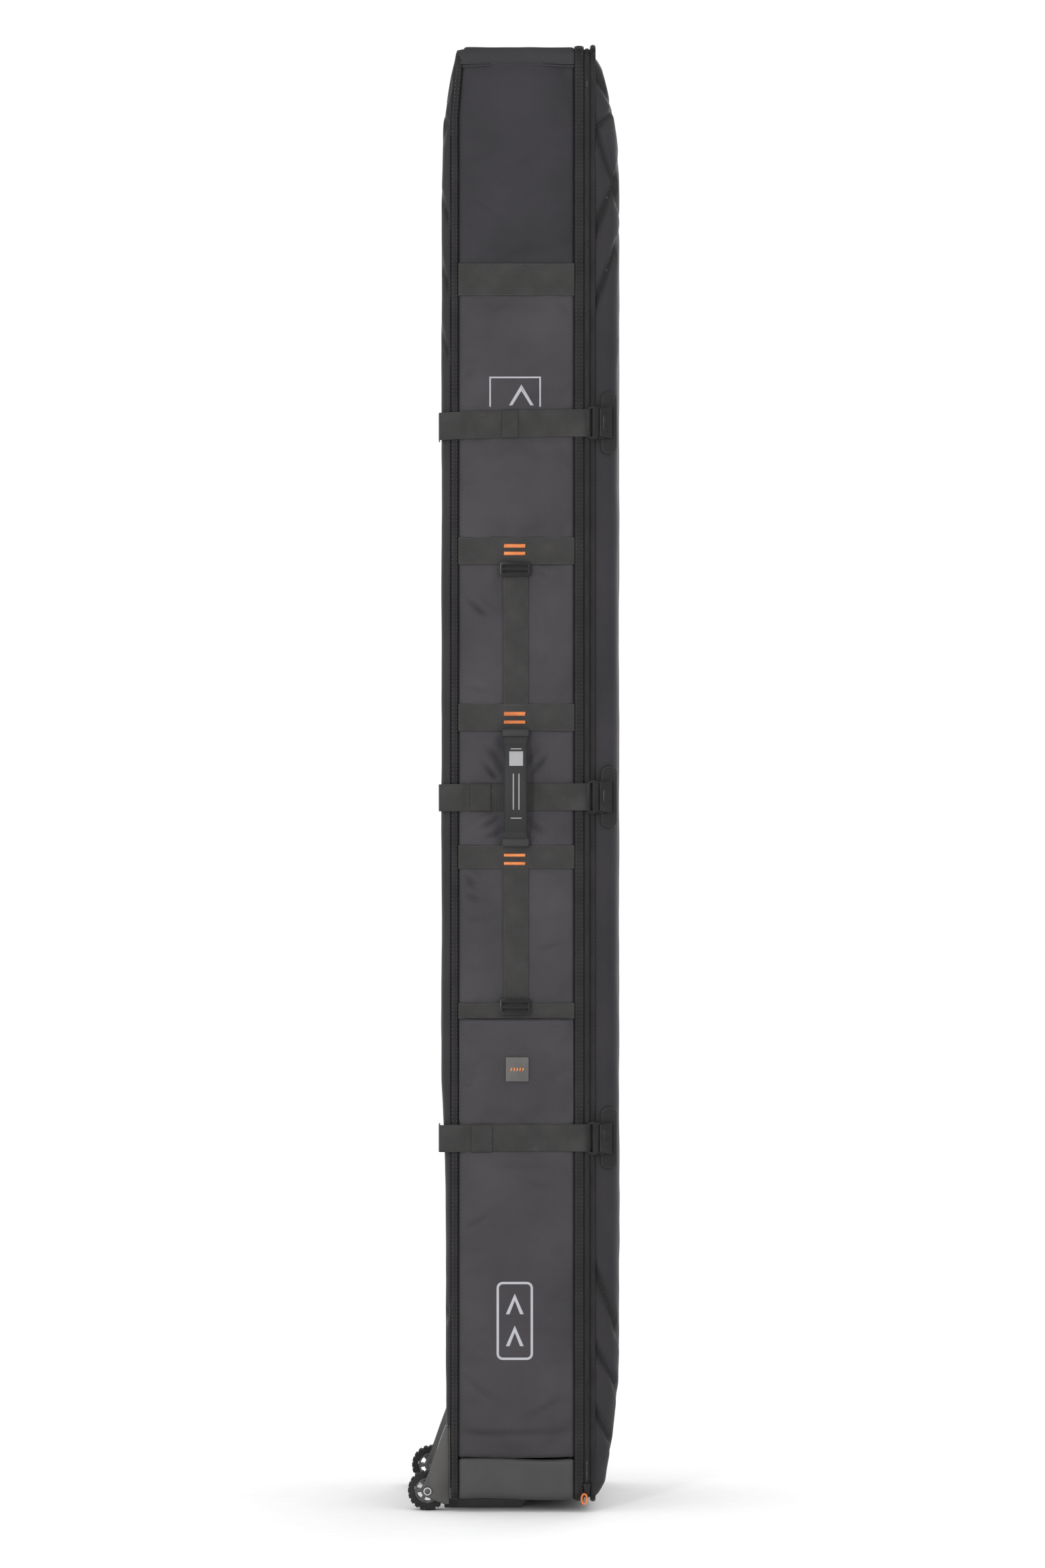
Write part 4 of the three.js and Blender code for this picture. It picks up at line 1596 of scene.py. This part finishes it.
for side in ("near", "far"):
    wheel = f"{side}_wheel"
    rounded_copy(f"tyre_{side}", f"lugged_tyre_{side}", wheel, rubber, 0.9 * mm)
    rounded_copy(f"rim_{side}", f"spoked_rim_{side}", wheel, dark_rim, 0.7 * mm)
    rounded_copy(f"wheel_bush_{side}", f"bush_{side}", wheel, moulding, 0.4 * mm)
    rounded_copy(f"axle_{side}", f"headed_axle_{side}", "shell", dark_rim, 0.8 * mm)
    low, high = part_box(f"axle_{side}")
    outer_y, inward = (low.y, 1) if side == "near" else (high.y, -1)
    hub = Vector(((low.x + high.x) / 2, outer_y + inward * 0.5 * mm, (low.z + high.z) / 2))
    turned_ring(f"axle_ring_{side}", hub, 5.0 * mm, 0.9 * mm, pale_ring)


# ---- Lid tabs ----
# Tall rounded patches of webbing cloth that spread the pull of each buckle over the lid. Each is sewn
# down with one row all round.
for place_name in keepers:
    rounded_copy(f"lid_tab_{place_name}", f"sewn_tab_{place_name}", "lid", binding, 0.8 * mm)

tab_rows = []
row_inset = 2.4 * mm
for place_name in keepers:
    low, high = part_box(f"lid_tab_{place_name}")
    edges = (low.x + row_inset, high.x - row_inset, low.z + row_inset, high.z - row_inset)
    rim = rounded_frame(*edges, 8 * mm)
    rim_points = [Vector((x, low.y - 0.1 * mm, z)) for x, z in rim + rim[:1]]
    tab_rows += row_of(rim_points, to_viewer, 3.6 * mm, 2.6 * mm, 0.7 * mm)
sew("tab_rows", tab_rows, "lid", dark_thread)


# ---- Carry handle and tow handle ----
# Padded webbing arches, each in two halves that leave a sewn end. The carry handle's halves meet under a
# sleeve with a blank label.
handle_cloth = surface(
    "handle_webbing", ribbed, (0.016, 0.016, 0.016), (0.030, 0.030, 0.030), 0.6, 0.3 * mm, sheen=0.05
)
label_cloth = surface(
    "label_cloth", woven, (0.014, 0.014, 0.0148), (0.023, 0.023, 0.024), 0.55, 0.1 * mm,
    thread=0.8 * mm, shine=0.3,
)
label_face = surface(
    "label_face", woven, (0.30, 0.30, 0.31), (0.36, 0.36, 0.37), 0.5, 0.1 * mm, "Object", thread=0.6 * mm
)


def closed_up(piece, distance, capped, smooth):
    """Merges a tube's seam and, when capped, fills its two ends."""
    form = bmesh.new()
    form.from_mesh(piece.data)
    bmesh.ops.remove_doubles(form, verts=form.verts, dist=distance)
    if capped:
        bmesh.ops.holes_fill(form, edges=[edge for edge in form.edges if edge.is_boundary])
    bmesh.ops.recalc_face_normals(form, faces=form.faces)
    if smooth:
        for face in form.faces:
            face.smooth = True
    form.to_mesh(piece.data)
    form.free()


def handle_tube(name, line, half_width_at, half_thick, shares, slide_axis, smooth):
    """A flat rounded tube along line(share), which gives a centre and the direction it faces away."""
    def place(across, along):
        share = between(*shares, along)
        centre, outward = line(share)
        angle = 2 * math.pi * across
        wide = flattened(math.cos(angle), 0.35) * half_width_at(share)
        thick = flattened(math.sin(angle), 0.7) * half_thick(share)
        return centre + slide_axis * wide + outward * thick

    tube = sheet_of(name, 32, 40, place)
    closed_up(tube, 0.005 * mm, True, smooth)
    return tube


handle_low, handle_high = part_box("carry_handle")
fold_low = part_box("handle_fold_lower")[0].z
fold_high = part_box("handle_fold_upper")[1].z
handle_x = (handle_low.x + handle_high.x) / 2
handle_reach = near_y - 3 * mm - (handle_low.y + 4 * mm)


def swell(share, power):
    """The rise of an arch at a share of its length, from 0 at each end to 1 in the middle."""
    return math.sin(math.pi * clamp(share)) ** power


def carry_line(share):
    z = between(fold_low, fold_high, share)
    lift = handle_reach * swell(share, 0.75)
    rise = handle_reach * (swell(share + 0.01, 0.75) - swell(share - 0.01, 0.75))
    slope = Vector((0, -rise, 0.02 * (fold_high - fold_low))).normalized()
    outward = Vector((1, 0, 0)).cross(slope)
    return Vector((handle_x, near_y - 3.4 * mm - lift, z)), -outward if outward.y > 0 else outward


def carry_width(share):
    return (18.5 - 2.5 * bump_between(share, 0.02, 0.98, 0.12)) * mm


def carry_thickness(share):
    return (1.0 + 2.8 * bump_between(share, 0.02, 0.98, 0.18)) * mm


along_x = Vector((1, 0, 0))
flex = 30 * mm
halves = (("lower", 0.0, fold_low, fold_low + flex), ("upper", 1.0, fold_high, fold_high - flex))
for place_name, first, fixed, free in halves:
    name = f"carry_handle_{place_name}"
    half = handle_tube(name, carry_line, carry_width, carry_thickness, (first, 0.5), along_x, True)
    finish_piece(half, None, [handle_cloth])
    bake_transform(half)


def sleeve_width(share):
    return carry_width(share) + 0.4 * mm


def sleeve_thickness(share):
    return carry_thickness(share) + 0.5 * mm


covered = (0.13, 0.87)
sleeve = handle_tube("handle_sleeve", carry_line, sleeve_width, sleeve_thickness, covered, along_x, False)
finish_piece(sleeve, "side_handle", [label_cloth], ["carry_handle"])

for place_name in ("lower", "upper"):
    fold = f"sewn_fold_{place_name}"
    rounded_copy(f"handle_fold_{place_name}", fold, "shell", handle_cloth, 2.5 * mm)
sleeve_skin = skin_of(sleeve)


def draw_label(form):
    ink_patch(form, handle_x - 9 * mm, handle_x + 11 * mm, 1.075, 1.096, sleeve_skin)


def draw_label_lines(form):
    for x in (handle_x - 3 * mm, handle_x + 5 * mm):
        ink_line(form, [(x, 1.012), (x, 1.064)], 1.6 * mm, False, sleeve_skin)
    for z in (1.0995, 1.000):
        ink_line(form, [(handle_x - 7 * mm, z), (handle_x + 9 * mm, z)], 1.4 * mm, False, sleeve_skin)


printed("handle_label", draw_label, "side_handle", label_face)
printed("handle_label_lines", draw_label_lines, "side_handle", label_face)

tow_low, tow_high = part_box("tow_handle")
tow_base = gusset_top - top_bow
tow_lift = tow_high.z - 3 * mm - gusset_top


def top_height(x):
    """The convex top panel's height at x."""
    return tow_base + convex(2 * (x - top_low.x) / (panel_right - top_low.x) - 1)


def tow_line(share):
    x = between(tow_low.x, tow_high.x, share)
    rise = tow_lift * (swell(share + 0.01, 0.6) - swell(share - 0.01, 0.6))
    slope = Vector((0.02 * (tow_high.x - tow_low.x), 0, rise)).normalized()
    outward = Vector((0, -1, 0)).cross(slope)
    return Vector((x, middle_y, top_height(x) + 1.2 * mm + tow_lift * swell(share, 0.6))), outward


def tow_width(share):
    return 15 * mm


def tow_thickness(share):
    return 2.2 * mm


along_y = Vector((0, 1, 0))
tow_halves = (("back", 0.0, tow_low.x, tow_low.x + flex), ("front", 1.0, tow_high.x, tow_high.x - flex))
for place_name, first, fixed, free in tow_halves:
    name = f"tow_handle_{place_name}"
    half = handle_tube(name, tow_line, tow_width, tow_thickness, (first, 0.5), along_y, True)
    finish_piece(half, None, [handle_cloth])
    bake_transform(half)
    if place_name == "back":
        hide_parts("tow_handle")
upward = Vector((0, 0, 1))
tow_tacks = []
for x in (tow_low.x + 3 * mm, tow_low.x + 7 * mm, tow_high.x - 7 * mm, tow_high.x - 3 * mm):
    line = [Vector((x, middle_y + side * 13 * mm, top_height(x) + 4.6 * mm)) for side in (-1, 1)]
    tow_tacks += row_of(line, lambda spot: upward, 1.6 * mm, 2.4 * mm, 1.0 * mm)
sew("tow_handle_tacks", tow_tacks, "shell", orange_thread)


# ---- Pocket and rubber patch ----
# A flat cloth pocket, sewn down at its sides and bottom, that gapes a little under its folded hem. A
# moulded rubber patch with a row of short bars is stitched on it.
pocket_low, pocket_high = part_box("pocket_front")
pocket_bottom = pocket_low.z - 5 * mm


def pocket_place(across, along):
    x = between(panel_left + 1 * mm, panel_right - 1 * mm, across)
    z = between(pocket_bottom, pocket_high.z, along)
    edge = bump_between(x, panel_left, panel_right, 14 * mm)
    open_by = (near_y - pocket_low.y) * clamp(along) ** 1.3
    return (x, near_y - 1.0 * mm - (open_by - 1 * mm) * edge * 0.85, z)


pocket = sheet_of("flat_pocket", 26, 24, pocket_place)


def pocket_held(spot):
    at_side = min(spot.x - panel_left, panel_right - spot.x) < 5 * mm
    return 1 if at_side or spot.z < pocket_bottom + 4 * mm or spot.z > pocket_high.z - 4 * mm else 0


puff(pocket, pocket_held, 1.5, 0.012, 3 * mm)
line_back(pocket, lambda spot: spot + Vector((0, 1.1 * mm, 0)))
refine(pocket)
finish_piece(pocket, "shell", [fabric, lining], ["pocket_front"])
patch_rubber = surface(
    "patch_rubber", moulded, (0.075, 0.073, 0.070), (0.105, 0.102, 0.098), 0.55, 0.1 * mm, "Object"
)
rounded_copy("rubber_patch", "moulded_patch", "shell", patch_rubber, 0.5 * mm)
patch_low, patch_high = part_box("rubber_patch")
patch_x = (patch_low.x + patch_high.x) / 2
patch_z = (patch_low.z + patch_high.z) / 2
patch_marks = []
bar_slant = Vector((0.35, 0, 1)).normalized()
for number in range(-2, 3):
    place = Vector((patch_x + number * 4.2 * mm, patch_low.y - 0.1 * mm, patch_z))
    patch_marks.append((place, bar_slant, toward_viewer, 6 * mm, 2.4 * mm))
sew("patch_bars", patch_marks, "shell", orange_thread)
hem_z = pocket_high.z - 8 * mm
pocket_skin = skin_of(pocket)
hem_steps = 30
hem_points = []
for number in range(hem_steps + 1):
    x = between(pocket_low.x + 12 * mm, pocket_high.x - 12 * mm, number / hem_steps)
    hem_points.append(Vector((x, on_cloth(x, hem_z, pocket_skin) - 0.2 * mm, hem_z)))
sew("pocket_hem_row", row_of(hem_points, to_viewer), "shell", dark_thread)


# ---- Inside ----
# A padded divider, quilted in diamonds and bound all round, that rides on the lid, and two webbing
# tie-downs with cam locks that are sewn to the back panel.
for place_name in ("upper", "lower"):
    node = f"tie_down_{place_name}"
    rounded_copy(node, f"{node}_webbing", "shell", webbing, 0.6 * mm)
pad_low, pad_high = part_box("divider_pad")
pad_x = (pad_low.x + pad_high.x) / 2
pad_half = (pad_high.y - pad_low.y) / 2
pad_corner = 45 * mm


def pad_outline(spot_y, spot_z):
    """Draws a rectangle's corner in to the pad's rounded corner."""
    y = spot_y - middle_y
    inner_y = pad_half - pad_corner
    near_z = min(max(spot_z, pad_low.z + pad_corner), pad_high.z - pad_corner)
    near_side = min(max(y, -inner_y), inner_y)
    out = Vector((y - near_side, spot_z - near_z))
    if abs(out.x) > 0 and abs(out.y) > 0:
        reach = max(abs(out.x), abs(out.y))
        out = out.normalized() * reach
    return middle_y + near_side + out.x, near_z + out.y


def pad_swell(y, z):
    """Thickness between the diamond quilting, thinner at the bound edge."""
    edge = min(pad_half - abs(y - middle_y), z - pad_low.z, pad_high.z - z)
    rim = clamp(edge / (14 * mm))
    slant = (y - middle_y) * 1.6
    diamond = 0.272
    first = abs(math.sin(math.pi * (z + slant) / diamond))
    second = abs(math.sin(math.pi * (z - slant) / diamond))
    channel = min(1, 6 * min(first, second))
    return (0.6 + 2.2 * rim ** 0.5 * (0.35 + 0.65 * channel)) * mm


def pad_face(side):
    def place(across, along):
        y, z = pad_outline(between(pad_low.y, pad_high.y, across), between(pad_low.z, pad_high.z, along))
        return (pad_x + side * pad_swell(y, z), y, z)

    return place


pad = sheet_of("quilted_divider", 60, 240, pad_face(-1))
line_back(pad, lambda spot: Vector((2 * pad_x - spot.x, spot.y, spot.z)))
finish_piece(pad, "lid", [lining, lining], ["divider_pad"])


def pad_binding_place(across, along):
    """A folded tape that grips the pad's edge all the way round."""
    turn = 2 * math.pi * across
    left, right = middle_y - pad_half + pad_corner, middle_y + pad_half - pad_corner
    low, high = pad_low.z + pad_corner, pad_high.z - pad_corner
    corners = [Vector((left, low)), Vector((right, low)), Vector((right, high)), Vector((left, high))]
    arc = pad_corner * math.pi / 2
    straight = [right - left, high - low] * 2
    run = (along % 1.0) * (sum(straight) + 4 * arc)
    for number in range(4):
        heading = number * math.pi / 2
        forward = Vector((math.cos(heading), math.sin(heading)))
        outside = Vector((math.sin(heading), -math.cos(heading)))
        if run <= straight[number]:
            middle = corners[number] + outside * pad_corner + forward * run
            break
        run -= straight[number]
        if run <= arc:
            angle = heading - math.pi / 2 + run / pad_corner
            outside = Vector((math.cos(angle), math.sin(angle)))
            middle = corners[(number + 1) % 4] + outside * pad_corner
            break
        run -= arc
    middle -= outside * 3 * mm
    reach = 4 * mm * math.cos(turn)
    return (pad_x + 2.6 * mm * math.sin(turn), middle.x + outside.x * reach, middle.y + outside.y * reach)


pad_binding = sheet_of("divider_binding", 12, 420, pad_binding_place)
closed_up(pad_binding, 0.01 * mm, False, True)
finish_piece(pad_binding, "lid", [binding])


# ---- Zip pull ----
# A short closed loop of braided orange cord, threaded through the slider's eye so that it hangs and
# swings from it.
orange_cord = surface("orange_cord", ribbed, (0.55, 0.13, 0.03), (0.85, 0.30, 0.10), 0.6, 0.2 * mm)
pull_low, pull_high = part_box("zip_pull")
pull_middle = (pull_low + pull_high) / 2
pull_half = (pull_high - pull_low) / 2
cord_radius = 1.5 * mm


def loop_place(across, along):
    turn = 2 * math.pi * along
    angle = 2 * math.pi * across
    outward = Vector((math.cos(turn), 0, math.sin(turn)))
    reach_x = (pull_half.x - 1.6 * mm) * outward.x
    reach_z = (pull_half.z - 1.6 * mm) * outward.z
    middle = pull_middle + Vector((reach_x, 0, reach_z))
    return middle + outward * (cord_radius * math.cos(angle)) + along_y * (cord_radius * math.sin(angle))


loop = sheet_of("zip_pull_loop", 10, 40, loop_place)
closed_up(loop, 0.005 * mm, False, False)
finish_piece(loop, "pull", [orange_cord], ["zip_pull"])
